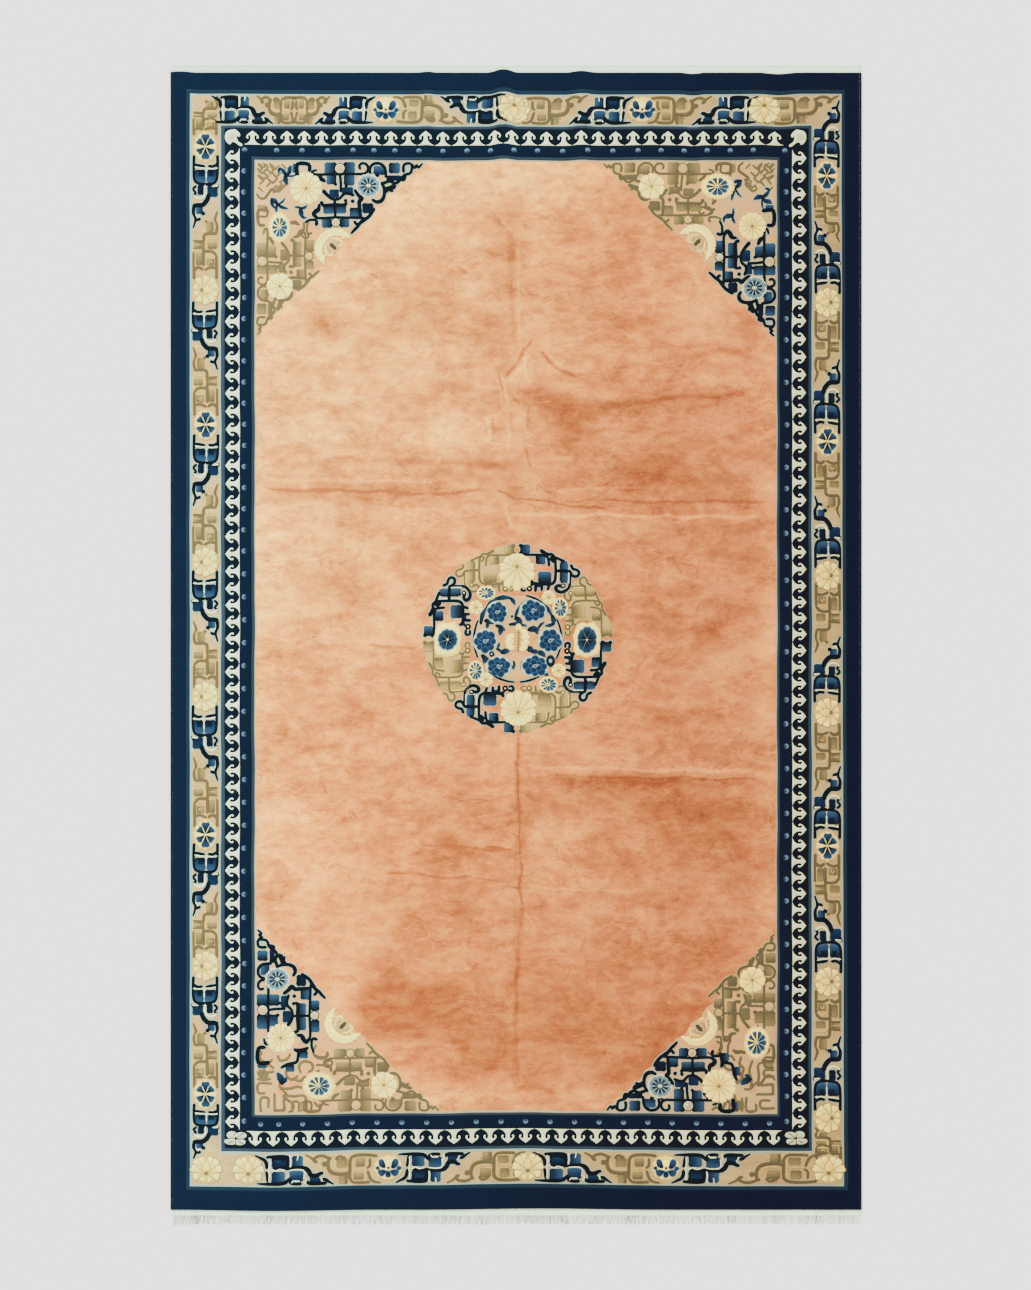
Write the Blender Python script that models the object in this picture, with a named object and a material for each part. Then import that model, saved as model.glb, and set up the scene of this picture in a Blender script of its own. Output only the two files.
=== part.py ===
"""A hand-knotted wool carpet with woven cotton ends, lying flat on the floor.

Width runs along X, length along Y, and the pile faces +Z. The floor is at Z = 0. The origin is on it,
below the middle of the whole carpet, woven ends and fringe included.
"""

import math
import random
from collections import namedtuple

import bpy
from mathutils import Vector
from mathutils.geometry import delaunay_2d_cdt

# Driving dimensions, in metres.
WIDTH = 2.74  # over the side cords
PILE_LENGTH = 4.505
THICKNESS = 0.014  # foundation and pile
PILE_ROUNDING = 0.004  # how far the clipped pile rounds over at its rim
CORD_WIDTH = 0.009  # the overcast cord down each side
CORD_HEIGHT = 0.010
TOP_STRIP = 0.031  # flat-woven end, clipped straight
BOTTOM_STRIP = 0.024  # flat-woven end that carries the fringe
FRINGE = 0.038  # longest strand
STRIP_THICKNESS = 0.003
STRIP_INSET = 0.004  # how far the woven ends stop short of the side cords' outer faces
GAP = 0.0003  # between pieces that touch

# The fringe.
STRANDS = 220
ROOT_WIDTH = 0.0085
MIDDLE_WIDTH = 0.0068
TIP_WIDTH = 0.0042
MIDDLE_HEIGHT = 0.0026
TIP_HEIGHT = 0.0018
MIDDLE_SHARE = 0.5  # where the middle section is, as a share of a strand's length
FAN = 0.010  # sideways lean of the outermost strands' tips
STRAY = 0.0022  # uneven lean of any strand's tip
UNEVEN = 0.009  # how much shorter the shortest strand is
SEED = 11

# How finely the shapes are made.
EDGE_STEP = 0.028  # along the ends, which wave
SIDE_STEP = 0.16  # along the straight sides
GRID_STEP = 0.26  # over the flat part of the carpet
FOLD_STEP = 0.075  # along a fold
FOLD_LANES = (-1.0, -0.62, -0.3, 0.0, 0.3, 0.62, 1.0)  # across a fold, in half widths
CLEAR_OF_FOLD = 0.035  # a grid point nearer to a fold's lanes than this is left out
CORD_SIDES = 8

TOTAL_LENGTH = TOP_STRIP + PILE_LENGTH + BOTTOM_STRIP + FRINGE
PILE_TOP = TOTAL_LENGTH / 2 - TOP_STRIP
PILE_BOTTOM = PILE_TOP - PILE_LENGTH
HALF_BODY = WIDTH / 2 - CORD_WIDTH - GAP

# Soft creases where the carpet was folded for storage. Each lifts the whole cloth off the floor and
# fades out towards its two ends.
Fold = namedtuple("Fold", "x0 y0 x1 y1 height half_width")
FOLDS = (
    Fold(0.012, 2.16, 0.002, 1.27, 0.0060, 0.075),  # lengthwise fold, above the medallion
    Fold(0.004, -0.40, 0.006, -1.20, 0.0065, 0.070),  # lengthwise fold, below it
    Fold(0.010, -1.02, 0.000, -1.98, 0.0050, 0.065),
    Fold(-0.085, 1.05, 0.035, 1.24, 0.0050, 0.045),  # short wrinkles that cross the lengthwise fold
    Fold(0.110, 1.19, 0.215, 1.03, 0.0050, 0.045),
    Fold(-0.96, 0.615, -0.02, 0.600, 0.0070, 0.060),  # crosswise fold, left half
    Fold(-0.06, 0.605, 0.52, 0.545, 0.0055, 0.055),
    Fold(0.38, 0.480, 1.02, 0.490, 0.0055, 0.070),
    Fold(-0.98, 1.115, -0.38, 1.120, 0.0035, 0.070),
    Fold(0.32, 0.985, 0.92, 0.950, 0.0040, 0.080),
    Fold(-0.62, -0.010, -0.37, 0.000, 0.0040, 0.045),
    Fold(0.12, -0.500, 1.02, -0.515, 0.0070, 0.075),
    Fold(-0.48, -0.610, -0.10, -0.640, 0.0040, 0.050),
    Fold(-0.75, -0.870, -0.36, -0.925, 0.0040, 0.050),
    Fold(0.10, -0.960, 0.46, -0.985, 0.0040, 0.055),
    Fold(-0.46, -1.575, 0.46, -1.590, 0.0045, 0.070),
)

# Waves of the two ends of the pile. Height is how far the edge bulges outwards, away from the middle.
Wave = namedtuple("Wave", "x height half_width")
TOP_WAVES = (
    Wave(-1.33, 0.005, 0.07),
    Wave(-0.35, 0.004, 0.04),
    Wave(-0.05, 0.014, 0.06),
    Wave(0.26, 0.007, 0.06),
    Wave(0.70, -0.005, 0.05),
    Wave(1.04, -0.006, 0.08),
)
BOTTOM_WAVES = (
    Wave(-0.95, 0.005, 0.38),
    Wave(0.10, -0.005, 0.46),
)

NAVY = (0.012, 0.045, 0.095)
SALMON = (0.72, 0.40, 0.25)
COTTON = (0.78, 0.80, 0.70)


def clear_scene():
    for obj in list(bpy.data.objects):
        bpy.data.objects.remove(obj, do_unlink=True)


def make_material(name, colour, roughness):
    material = bpy.data.materials.new(name)
    material.use_nodes = True
    shader = material.node_tree.nodes["Principled BSDF"]
    shader.inputs["Base Color"].default_value = (*colour, 1.0)
    shader.inputs["Roughness"].default_value = roughness
    shader.inputs["Metallic"].default_value = 0.0
    return material


def make_object(name, vertices, faces, material):
    mesh = bpy.data.meshes.new(name)
    mesh.from_pydata(vertices, [], faces)
    mesh.materials.append(material)
    mesh.validate()
    obj = bpy.data.objects.new(name, mesh)
    bpy.context.scene.collection.objects.link(obj)
    return obj


def hump(t):
    """1 at t = 0, falling smoothly to 0 at t = -1 and t = 1, and 0 beyond."""
    return (1.0 - t * t) ** 2 if abs(t) < 1.0 else 0.0


def fold_frame(fold):
    """A fold's start, direction, sideways direction and length."""
    start = Vector((fold.x0, fold.y0))
    run = Vector((fold.x1, fold.y1)) - start
    along = run.normalized()
    return start, along, Vector((-along.y, along.x)), run.length


def lift(x, y):
    """How far the cloth is off the floor at this place."""
    height = 0.0
    for fold in FOLDS:
        start, along, across, length = fold_frame(fold)
        offset = Vector((x, y)) - start
        share = 2.0 * offset.dot(along) / length - 1.0
        height += fold.height * hump(offset.dot(across) / fold.half_width) * hump(share * abs(share))
    return height


def wave(waves, x):
    """How far an end of the pile bulges at this place. Past the pile, the cords end square with it."""
    x = max(-HALF_BODY, min(HALF_BODY, x))
    return sum(w.height * hump((x - w.x) / w.half_width) for w in waves)


def top_edge(x):
    return PILE_TOP + wave(TOP_WAVES, x)


def bottom_edge(x):
    return PILE_BOTTOM - wave(BOTTOM_WAVES, x)


def steps(start, end, step):
    """Even places from start towards end, without end itself."""
    count = max(1, round(abs(end - start) / step))
    return [start + (end - start) * i / count for i in range(count)]


def end_places():
    """Places across the width at which the ends of the pile and of the woven top end both have points."""
    return steps(-HALF_BODY, HALF_BODY, EDGE_STEP) + [HALF_BODY]


def pile_outline():
    """The carpet's rim, counterclockwise seen from above."""
    across = end_places()
    bottom = [(x, bottom_edge(x)) for x in across[:-1]]
    right = [(HALF_BODY, y) for y in steps(bottom_edge(HALF_BODY), top_edge(HALF_BODY), SIDE_STEP)]
    top = [(x, top_edge(x)) for x in reversed(across[1:])]
    left = [(-HALF_BODY, y) for y in steps(top_edge(-HALF_BODY), bottom_edge(-HALF_BODY), SIDE_STEP)]
    return bottom + right + top + left


def fold_points():
    """Points in lanes along each fold, so that the mesh follows its shape."""
    points = []
    for fold in FOLDS:
        start, along, across, length = fold_frame(fold)
        count = math.ceil(length / FOLD_STEP)
        for i in range(count + 1):
            for lane in FOLD_LANES:
                point = start + along * (length * i / count) + across * (lane * fold.half_width)
                if all((point - other).length > CLEAR_OF_FOLD / 3 for other in points):
                    points.append(point)
    return points


def grid_points(taken):
    """A coarse grid inside the rim, left out where the folds already have points."""
    points = []
    for x in steps(-HALF_BODY, HALF_BODY, GRID_STEP)[1:]:
        for y in steps(PILE_BOTTOM, PILE_TOP, GRID_STEP)[1:]:
            point = Vector((x, y))
            if all((point - other).length > CLEAR_OF_FOLD for other in taken):
                points.append(point)
    return points


def add_carpet(material):
    """Foundation and pile as one solid: a flat slab, lifted along its folds, with a rounded top rim."""
    rim = pile_outline()
    folds = fold_points()
    inside = folds + grid_points(folds)
    points = [Vector(p) for p in rim] + inside
    rim_edges = [(i, (i + 1) % len(rim)) for i in range(len(rim))]
    flat, _, triangles, _, _, _ = delaunay_2d_cdt(points, rim_edges, [], 1, 1e-6)
    count = len(flat)

    def drawn_in(x, y):
        middle = (PILE_TOP + PILE_BOTTOM) / 2
        reach = PILE_LENGTH / 2
        return x * (1 - PILE_ROUNDING / HALF_BODY), middle + (y - middle) * (1 - PILE_ROUNDING / reach)

    under = [(p.x, p.y, lift(p.x, p.y)) for p in flat]
    over = []
    for i, p in enumerate(flat):
        x, y = drawn_in(p.x, p.y) if i < len(rim) else (p.x, p.y)
        over.append((x, y, THICKNESS + lift(p.x, p.y)))
    shoulder = [(x, y, THICKNESS - PILE_ROUNDING) for x, y in rim]
    faces = [tuple(reversed(t)) for t in triangles]
    faces += [tuple(count + i for i in t) for t in triangles]
    for i, j in rim_edges:
        faces.append((i, j, 2 * count + j, 2 * count + i))
        faces.append((2 * count + i, 2 * count + j, count + j, count + i))
    return make_object("carpet", under + over + shoulder, faces, material)


def add_side_cord(name, side, material):
    """The overcast cord down one side, an eight-sided rod with a flat face on the floor."""
    middle_x = side * (WIDTH - CORD_WIDTH) / 2
    reach = 1.0 / math.cos(math.pi / CORD_SIDES)
    section = []
    for i in range(CORD_SIDES):
        angle = 2 * math.pi * (i + 0.5) / CORD_SIDES
        x = middle_x + CORD_WIDTH / 2 * reach * math.cos(angle)
        section.append((x, CORD_HEIGHT / 2 * (1 + reach * math.sin(angle))))
    ends = (bottom_edge(side * HALF_BODY), top_edge(side * HALF_BODY))
    vertices = [(x, y, z) for y in ends for x, z in section]
    n = CORD_SIDES
    faces = [tuple(range(n)), tuple(reversed(range(n, 2 * n)))]
    faces += [(i, n + i, n + (i + 1) % n, (i + 1) % n) for i in range(n)]
    return make_object(name, vertices, faces, material)


def add_top_strip(material):
    """The flat-woven end with its warps clipped, along the waving edge of the pile."""
    half = WIDTH / 2 - STRIP_INSET
    places = [-half] + end_places() + [half]
    vertices = []
    for x in places:
        for y in (top_edge(x) + GAP, TOTAL_LENGTH / 2):
            vertices += [(x, y, 0.0), (x, y, STRIP_THICKNESS)]
    faces = [(0, 1, 3, 2)]
    for i in range(len(places) - 1):
        a, b = 4 * i, 4 * (i + 1)
        faces.append((a, a + 2, b + 2, b))  # underside
        faces.append((a + 1, b + 1, b + 3, a + 3))  # top
        faces.append((a, b, b + 1, a + 1))  # towards the pile
        faces.append((a + 2, a + 3, b + 3, b + 2))  # outer edge
    last = 4 * (len(places) - 1)
    faces.append((last, last + 2, last + 3, last + 1))
    return make_object("woven_end_top", vertices, faces, material)


def strand_sections(middle_x, half_span, strip_y, shortfall, stray):
    """A strand's cross sections beyond its root, each as x, y, width and height."""
    tip_x = middle_x + FAN * middle_x / half_span + stray
    tip_y = -TOTAL_LENGTH / 2 + shortfall
    half_way_x = middle_x + (tip_x - middle_x) * MIDDLE_SHARE
    half_way_y = strip_y + (tip_y - strip_y) * MIDDLE_SHARE
    return ((half_way_x, half_way_y, MIDDLE_WIDTH, MIDDLE_HEIGHT), (tip_x, tip_y, TIP_WIDTH, TIP_HEIGHT))


def add_bottom_fringe(material):
    """The flat-woven end with its strands: a narrow strip, and tapered strands level on the floor."""
    rng = random.Random(SEED)
    half = WIDTH / 2 - STRIP_INSET
    strip_y = -TOTAL_LENGTH / 2 + FRINGE
    pitch = (2 * half - 2 * FAN) / STRANDS
    middles = [-half + FAN + pitch * (i + 0.5) for i in range(STRANDS)]
    shortfalls = [UNEVEN * rng.random() for _ in middles]
    strays = [STRAY * rng.uniform(-1, 1) for _ in middles]
    longest = min(shortfalls)

    places = [-half] + [m + s * ROOT_WIDTH / 2 for m in middles for s in (-1, 1)] + [half]
    vertices = []
    for x in places:
        for y in (bottom_edge(x) - GAP, strip_y):
            vertices += [(x, y, 0.0), (x, y, STRIP_THICKNESS)]
    faces = [(0, 2, 3, 1)]
    for i in range(len(places) - 1):
        a, b = 4 * i, 4 * (i + 1)
        faces.append((a, b, b + 2, a + 2))  # underside
        faces.append((a + 1, a + 3, b + 3, b + 1))  # top
        faces.append((a, a + 1, b + 1, b))  # towards the pile
        ring = (a + 2, b + 2, b + 3, a + 3)  # outer edge: left and right on the floor, then above
        if i % 2 == 0:
            faces.append(ring)
            continue
        strand = i // 2
        sections = strand_sections(
            middles[strand], half, strip_y, shortfalls[strand] - longest, strays[strand]
        )
        for x, y, width, height in sections:
            first = len(vertices)
            left, right = x - width / 2, x + width / 2
            vertices += [(left, y, 0.0), (right, y, 0.0), (right, y, height), (left, y, height)]
            new_ring = tuple(range(first, first + 4))
            for k in range(4):
                j = (k + 1) % 4
                faces.append((ring[k], ring[j], new_ring[j], new_ring[k]))
            ring = new_ring
        faces.append(ring)
    last = 4 * (len(places) - 1)
    faces.append((last, last + 1, last + 3, last + 2))
    return make_object("woven_end_fringe", vertices, faces, material)


def main():
    clear_scene()
    wool = make_material("wool_pile", SALMON, 0.95)
    yarn = make_material("navy_yarn", NAVY, 0.9)
    cotton = make_material("cotton_warp", COTTON, 0.9)
    add_carpet(wool)
    add_side_cord("side_cord_left", -1, yarn)
    add_side_cord("side_cord_right", 1, yarn)
    add_top_strip(cotton)
    add_bottom_fringe(cotton)


main()
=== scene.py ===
"""Looks of a hand-knotted wool carpet: carved and dyed pile, overcast sides, woven cotton ends and fringe.

The pattern is drawn flat, in metres, as closed outlines that lie over each other in the order in which
they are drawn. Each becomes a low raised patch of pile. Then the whole drawing is laid on the carpet,
so it follows the carpet's waving ends, its soft storage folds and the uneven face of its pile.
Places that were read off the reference photograph are given in its pixels, in columns named px and py.
"""

import math
import random
from collections import namedtuple

import bpy
import numpy as np
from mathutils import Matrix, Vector
from mathutils.geometry import delaunay_2d_cdt


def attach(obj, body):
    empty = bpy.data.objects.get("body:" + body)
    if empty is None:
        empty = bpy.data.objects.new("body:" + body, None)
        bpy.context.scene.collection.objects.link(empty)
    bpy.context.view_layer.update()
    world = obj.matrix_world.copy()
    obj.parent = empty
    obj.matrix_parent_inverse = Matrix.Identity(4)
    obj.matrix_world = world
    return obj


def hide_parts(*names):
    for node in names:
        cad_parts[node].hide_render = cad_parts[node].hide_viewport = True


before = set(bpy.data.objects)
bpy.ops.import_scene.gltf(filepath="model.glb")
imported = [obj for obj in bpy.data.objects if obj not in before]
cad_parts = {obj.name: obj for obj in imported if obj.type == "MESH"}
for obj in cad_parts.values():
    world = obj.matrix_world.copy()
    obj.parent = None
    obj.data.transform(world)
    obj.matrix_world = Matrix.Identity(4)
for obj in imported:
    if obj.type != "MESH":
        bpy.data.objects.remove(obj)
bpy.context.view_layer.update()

# ---------------------------------------------------------------- sizes, in metres
WIDTH = 2.74  # over the side cords
PILE_LENGTH = 4.505
TOP_STRIP = 0.031
BOTTOM_STRIP = 0.024
FRINGE = 0.038
THICKNESS = 0.014
CORD_WIDTH = 0.009
CORD_HEIGHT = 0.010
STRIP_THICKNESS = 0.003
STRIP_INSET = 0.004
GAP = 0.0003
TOTAL_LENGTH = TOP_STRIP + PILE_LENGTH + BOTTOM_STRIP + FRINGE
PILE_TOP = TOTAL_LENGTH / 2 - TOP_STRIP
PILE_BOTTOM = PILE_TOP - PILE_LENGTH
HALF_BODY = WIDTH / 2 - CORD_WIDTH - GAP
STRIP_Y = -TOTAL_LENGTH / 2 + FRINGE  # where the fringe leaves its woven end

# The reference photograph looks straight down. One of its pixels is this long on the carpet.
PIXEL = WIDTH / 691.8
MIDDLE_PX = 516.0
MIDDLE_PY = 645.15
FRAME_PX = 1031
FRAME_PY = 1290

# ---------------------------------------------------------------- the carpet's lie on the floor
Fold = namedtuple("Fold", "x0 y0 x1 y1 height half_width")
FOLDS = (
    Fold(0.012, 2.16, 0.002, 1.27, 0.0060, 0.075),
    Fold(0.004, -0.40, 0.006, -1.20, 0.0065, 0.070),
    Fold(0.010, -1.02, 0.000, -1.98, 0.0050, 0.065),
    Fold(-0.085, 1.05, 0.035, 1.24, 0.0050, 0.045),
    Fold(0.110, 1.19, 0.215, 1.03, 0.0050, 0.045),
    Fold(-0.96, 0.615, -0.02, 0.600, 0.0070, 0.060),
    Fold(-0.06, 0.605, 0.52, 0.545, 0.0055, 0.055),
    Fold(0.38, 0.480, 1.02, 0.490, 0.0055, 0.070),
    Fold(-0.98, 1.115, -0.38, 1.120, 0.0035, 0.070),
    Fold(0.32, 0.985, 0.92, 0.950, 0.0040, 0.080),
    Fold(-0.62, -0.010, -0.37, 0.000, 0.0040, 0.045),
    Fold(0.12, -0.500, 1.02, -0.515, 0.0070, 0.075),
    Fold(-0.48, -0.610, -0.10, -0.640, 0.0040, 0.050),
    Fold(-0.75, -0.870, -0.36, -0.925, 0.0040, 0.050),
    Fold(0.10, -0.960, 0.46, -0.985, 0.0040, 0.055),
    Fold(-0.46, -1.575, 0.46, -1.590, 0.0045, 0.070),
)

Wave = namedtuple("Wave", "x height half_width")
TOP_WAVES = (
    Wave(-1.33, 0.005, 0.07),
    Wave(-0.35, 0.004, 0.04),
    Wave(-0.05, 0.014, 0.06),
    Wave(0.26, 0.007, 0.06),
    Wave(0.70, -0.005, 0.05),
    Wave(1.04, -0.006, 0.08),
)
BOTTOM_WAVES = (
    Wave(-0.95, 0.005, 0.38),
    Wave(0.10, -0.005, 0.46),
)

# Slow ripples of the pile's clipped face: run of one wave along x and y, phase and height.
Ripple = namedtuple("Ripple", "run_x run_y phase height")
RIPPLES = (
    Ripple(0.83, 0.47, 0.4, 0.00040),
    Ripple(-0.39, 0.61, 1.9, 0.00035),
    Ripple(0.27, 0.23, 3.1, 0.00022),
    Ripple(0.16, -0.19, 5.0, 0.00015),
)

# Narrow creases inside the folds, dented into the pile's face by their depth. Along each, painted shade
# darkens the pile where the tone is negative, and a painted highlight pales it where the tone is positive.
Crease = namedtuple("Crease", "px0 py0 px1 py1 half_width tone depth")
CREASES = (
    Crease(516.5, 726, 515.5, 1098, 0.0085, -0.20, 0.0016),
    Crease(518.0, 168, 516.0, 330, 0.0080, -0.08, 0.0008),
    Crease(262, 490, 520, 492, 0.0120, -0.09, 0.0010),
    Crease(540, 505, 660, 512, 0.0110, -0.07, 0.0008),
    Crease(600, 519, 772, 521, 0.0110, 0.12, -0.0008),
    Crease(600, 526, 772, 529, 0.0130, -0.11, 0.0010),
    Crease(268, 613, 420, 612, 0.0110, -0.07, 0.0008),
    Crease(640, 647, 770, 650, 0.0120, -0.07, 0.0008),
    Crease(540, 770, 772, 773, 0.0110, 0.14, -0.0010),
    Crease(540, 778, 774, 781, 0.0150, -0.13, 0.0012),
    Crease(395, 803, 500, 806, 0.0100, -0.08, 0.0008),
    Crease(560, 837, 700, 840, 0.0110, -0.06, 0.0006),
    Crease(330, 868, 430, 876, 0.0110, -0.08, 0.0008),
    Crease(545, 890, 640, 894, 0.0100, -0.07, 0.0006),
    Crease(400, 1043, 640, 1046, 0.0130, -0.08, 0.0009),
    Crease(272, 363, 430, 361, 0.0120, -0.06, 0.0006),
    Crease(590, 398, 760, 408, 0.0130, -0.06, 0.0006),
    Crease(640, 322, 700, 330, 0.0100, -0.07, 0.0006),
)


def hump(t):
    """1 at t = 0, falling smoothly to 0 at t = -1 and t = 1, and 0 beyond."""
    return np.where(np.abs(t) < 1.0, (1.0 - t * t) ** 2, 0.0)


def ease(t):
    """0 up to t = 0, 1 from t = 1, and a smooth step between."""
    t = np.clip(t, 0.0, 1.0)
    return t * t * (3.0 - 2.0 * t)


def place(px, py):
    """The place on the carpet, in metres, of a point of the reference photograph."""
    return ((px - MIDDLE_PX) * PIXEL, (MIDDLE_PY - py) * PIXEL)


def along_line(x, y, x0, y0, x1, y1):
    """Share of the way along a line, and the distance beside it, of each point."""
    length = math.hypot(x1 - x0, y1 - y0)
    ux = (x1 - x0) / length
    uy = (y1 - y0) / length
    return ((x - x0) * ux + (y - y0) * uy) / length, (y - y0) * ux - (x - x0) * uy


def lift(x, y):
    """How far the cloth is off the floor, as in the solids."""
    height = np.zeros_like(x)
    for fold in FOLDS:
        share, beside = along_line(x, y, fold.x0, fold.y0, fold.x1, fold.y1)
        share = 2.0 * share - 1.0
        height += fold.height * hump(beside / fold.half_width) * hump(share * np.abs(share))
    return height


def wave(waves, x):
    """How far an end of the pile bulges outwards."""
    x = np.clip(x, -HALF_BODY, HALF_BODY)
    return sum(w.height * hump((x - w.x) / w.half_width) for w in waves)


def crease_shade_and_depth(x, y):
    """(tone of the painted shade and highlight, depth) of the creases."""
    tone = np.zeros_like(x)
    depth = np.zeros_like(x)
    for crease in CREASES:
        x0, y0 = place(crease.px0, crease.py0)
        x1, y1 = place(crease.px1, crease.py1)
        share, beside = along_line(x, y, x0, y0, x1, y1)
        beside = beside + 0.004 * np.sin(share * 23.0 + crease.px0) + 0.003 * np.sin(share * 57.0)
        uneven = 0.72 + 0.28 * np.sin(share * 31.0 + crease.py0)
        mask = hump(beside / (1.6 * crease.half_width)) * ease(share * 8) * ease((1 - share) * 8) * uneven
        tone += crease.tone * mask
        depth += crease.depth * mask
    return tone, depth


def pile_face(x, y):
    """Height of the pile's face over the floor."""
    ripple = np.zeros_like(x)
    for r in RIPPLES:
        ripple += r.height * np.sin(2 * math.pi * (x / r.run_x + y / r.run_y) + r.phase)
    return THICKNESS + lift(x, y) + ripple - crease_shade_and_depth(x, y)[1]


# The right-hand border drifts: its outer stripes run out towards the side as they come down.
DRIFT_PX = (813.0, 841.0, 846.5, 861.0)
DRIFT = (0.0, 1.1 * PIXEL, 1.85 * PIXEL, 0.0)

# The lines inside the two ends bow towards the middle of the carpet by this much, in the parts of the
# carpet beyond BOW_Y. The waves of the ends die out at WAVE_TOP_Y and WAVE_BOTTOM_Y.
TOP_BOW = 1.0 * PIXEL
BOTTOM_BOW = 1.4 * PIXEL
BOW_Y = 1.2
WAVE_TOP_Y = 1.55
WAVE_BOTTOM_Y = -1.45
WOBBLE = 0.0012  # how far the stripes wander from straight


def settle(x, y):
    """Moves the flat drawing's points to where they lie on the woven carpet."""
    drift_x = [(px - MIDDLE_PX) * PIXEL for px in DRIFT_PX]
    new_x = x - np.interp(x, drift_x, DRIFT) * y / (PILE_LENGTH / 2)
    hold = 1.0 - (np.abs(x) / HALF_BODY) ** 12
    new_x = new_x + WOBBLE * hold * (np.sin(y * 9.1 + 0.6) + 0.7 * np.sin(y * 23.7))
    up = wave(TOP_WAVES, x) * ease((y - WAVE_TOP_Y) / (PILE_TOP - WAVE_TOP_Y))
    down = wave(BOTTOM_WAVES, x) * ease((WAVE_BOTTOM_Y - y) / (WAVE_BOTTOM_Y - PILE_BOTTOM))
    hold = 1.0 - np.clip((np.abs(y) / abs(PILE_BOTTOM)) ** 12, 0, 1)
    wobble = WOBBLE * hold * (np.sin(x * 11.3 + 2.0) + 0.6 * np.sin(x * 27.1))
    sag = TOP_BOW * hump(x / 1.30) * ease((y - BOW_Y) / 0.5) * ease((PILE_TOP - y) / 0.07)
    rise = BOTTOM_BOW * hump((x + 0.08) / 1.15) * ease((-BOW_Y - y) / 0.5) * ease((y - PILE_BOTTOM) / 0.07)
    return new_x, y + up - down + wobble - sag + rise


# ---------------------------------------------------------------- dyes
def linear(red, green, blue):
    """An sRGB colour of 0 to 255 as linear light."""
    return tuple(
        c / 255 / 12.92 if c <= 10.3 else ((c / 255 + 0.055) / 1.055) ** 2.4 for c in (red, green, blue)
    )


# Each dye has the tone that it has on the carpet's left side and the one on its right side.
Dye = namedtuple("Dye", "left right")


def dye(left, right):
    return Dye(np.array(linear(*left)), np.array(linear(*right)))


def between(first, second, share):
    left = first.left + (second.left - first.left) * share
    right = first.right + (second.right - first.right) * share
    return Dye(left, right)


NAVY = dye((0, 19, 38), (0, 2, 22))
GUARD = dye((17, 38, 53), (12, 27, 38))
GUARD_SOFT = dye((40, 57, 68), (27, 39, 47))
INNER_GUARD = dye((30, 49, 60), (30, 40, 44))
LINE = dye((141, 173, 153), (122, 128, 106))
FIELD_LINE = dye((170, 165, 125), (140, 123, 89))
GROUND = dye((190, 160, 97), (149, 119, 68))
PINK = dye((229, 151, 73), (183, 119, 60))
CORNER_GROUND = dye((203, 167, 99), (163, 131, 77))
CLOUD_DARK = dye((0, 13, 26), (0, 3, 12))
CLOUD = dye((213, 236, 190), (185, 183, 137))
PEARL_BAND = dye((0, 16, 34), (0, 4, 22))
PEARL = dye((78, 112, 132), (80, 100, 114))
INK = dye((0, 7, 15), (0, 2, 8))
BLUE_DEEP = dye((0, 21, 44), (0, 13, 33))
BLUE = dye((17, 44, 67), (11, 33, 56))
BLUE_LIGHT = dye((46, 79, 103), (38, 61, 82))
BLUE_PALE = dye((111, 142, 145), (93, 108, 108))
CREAM = dye((248, 220, 86), (212, 171, 70))
CREAM_LIGHT = dye((250, 243, 124), (240, 207, 87))
CREAM_SHADE = dye((194, 164, 77), (158, 129, 66))
STRAW = dye((160, 138, 75), (122, 100, 57))
TAN = dye((112, 99, 60), (85, 73, 45))
OLIVE = dye((83, 73, 50), (62, 54, 36))
OLIVE_DEEP = dye((65, 59, 39), (57, 49, 32))
FIELD_PALE = dye((250, 179, 82), (227, 136, 56))
FIELD_WARM = dye((224, 136, 57), (176, 99, 46))
FIELD_DEEP = dye((184, 99, 42), (150, 77, 37))


def side_share(x, y):
    """0 on the carpet's left and upper side, 1 on its right and lower side."""
    return ease(0.5 + x / (2.1 * HALF_BODY) - y / (3.4 * PILE_LENGTH))


# Fade holds two dyes and the line along which one turns into the other.
Fade = namedtuple("Fade", "first second x0 y0 x1 y1")


# ---------------------------------------------------------------- outlines, as lists of (x, y) in metres
def spot(x, y, ux, uy, vx, vy):
    """A motif's place: turns its own (u, v) into (x, y), from an origin and the steps of one unit."""
    return lambda u, v: (x + u * ux + v * vx, y + u * uy + v * vy)


def turned_spot(x, y, step, turn):
    """A motif's place whose unit is one step and whose own axes are turned by an angle."""
    c, s = step * math.cos(turn), step * math.sin(turn)
    return spot(x, y, c, s, -s, c)


def put_all(place_at, points):
    return [place_at(u, v) for u, v in points]


def rounded(points, per, closed=True):
    """A smooth curve through the points."""
    count = len(points)
    result = []
    for i in range(count if closed else count - 1):
        if closed:
            a, b, c, d = (points[(i + k) % count] for k in (-1, 0, 1, 2))
        else:
            a, b, c, d = (points[max(0, min(count - 1, i + k))] for k in (-1, 0, 1, 2))
        for k in range(per):
            t = k / per
            w = (
                -0.5 * t + t * t - 0.5 * t**3,
                1 - 2.5 * t * t + 1.5 * t**3,
                0.5 * t + 2 * t * t - 1.5 * t**3,
                -0.5 * t * t + 0.5 * t**3,
            )
            result.append(tuple(w[0] * a[m] + w[1] * b[m] + w[2] * c[m] + w[3] * d[m] for m in (0, 1)))
    if not closed:
        result.append(tuple(points[-1]))
    return result


def ellipse(x, y, rx, ry, turn=0.0, count=18):
    c, s = math.cos(turn), math.sin(turn)
    points = []
    for i in range(count):
        a = 2 * math.pi * i / count
        u, v = rx * math.cos(a), ry * math.sin(a)
        points.append((x + u * c - v * s, y + u * s + v * c))
    return points


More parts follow.
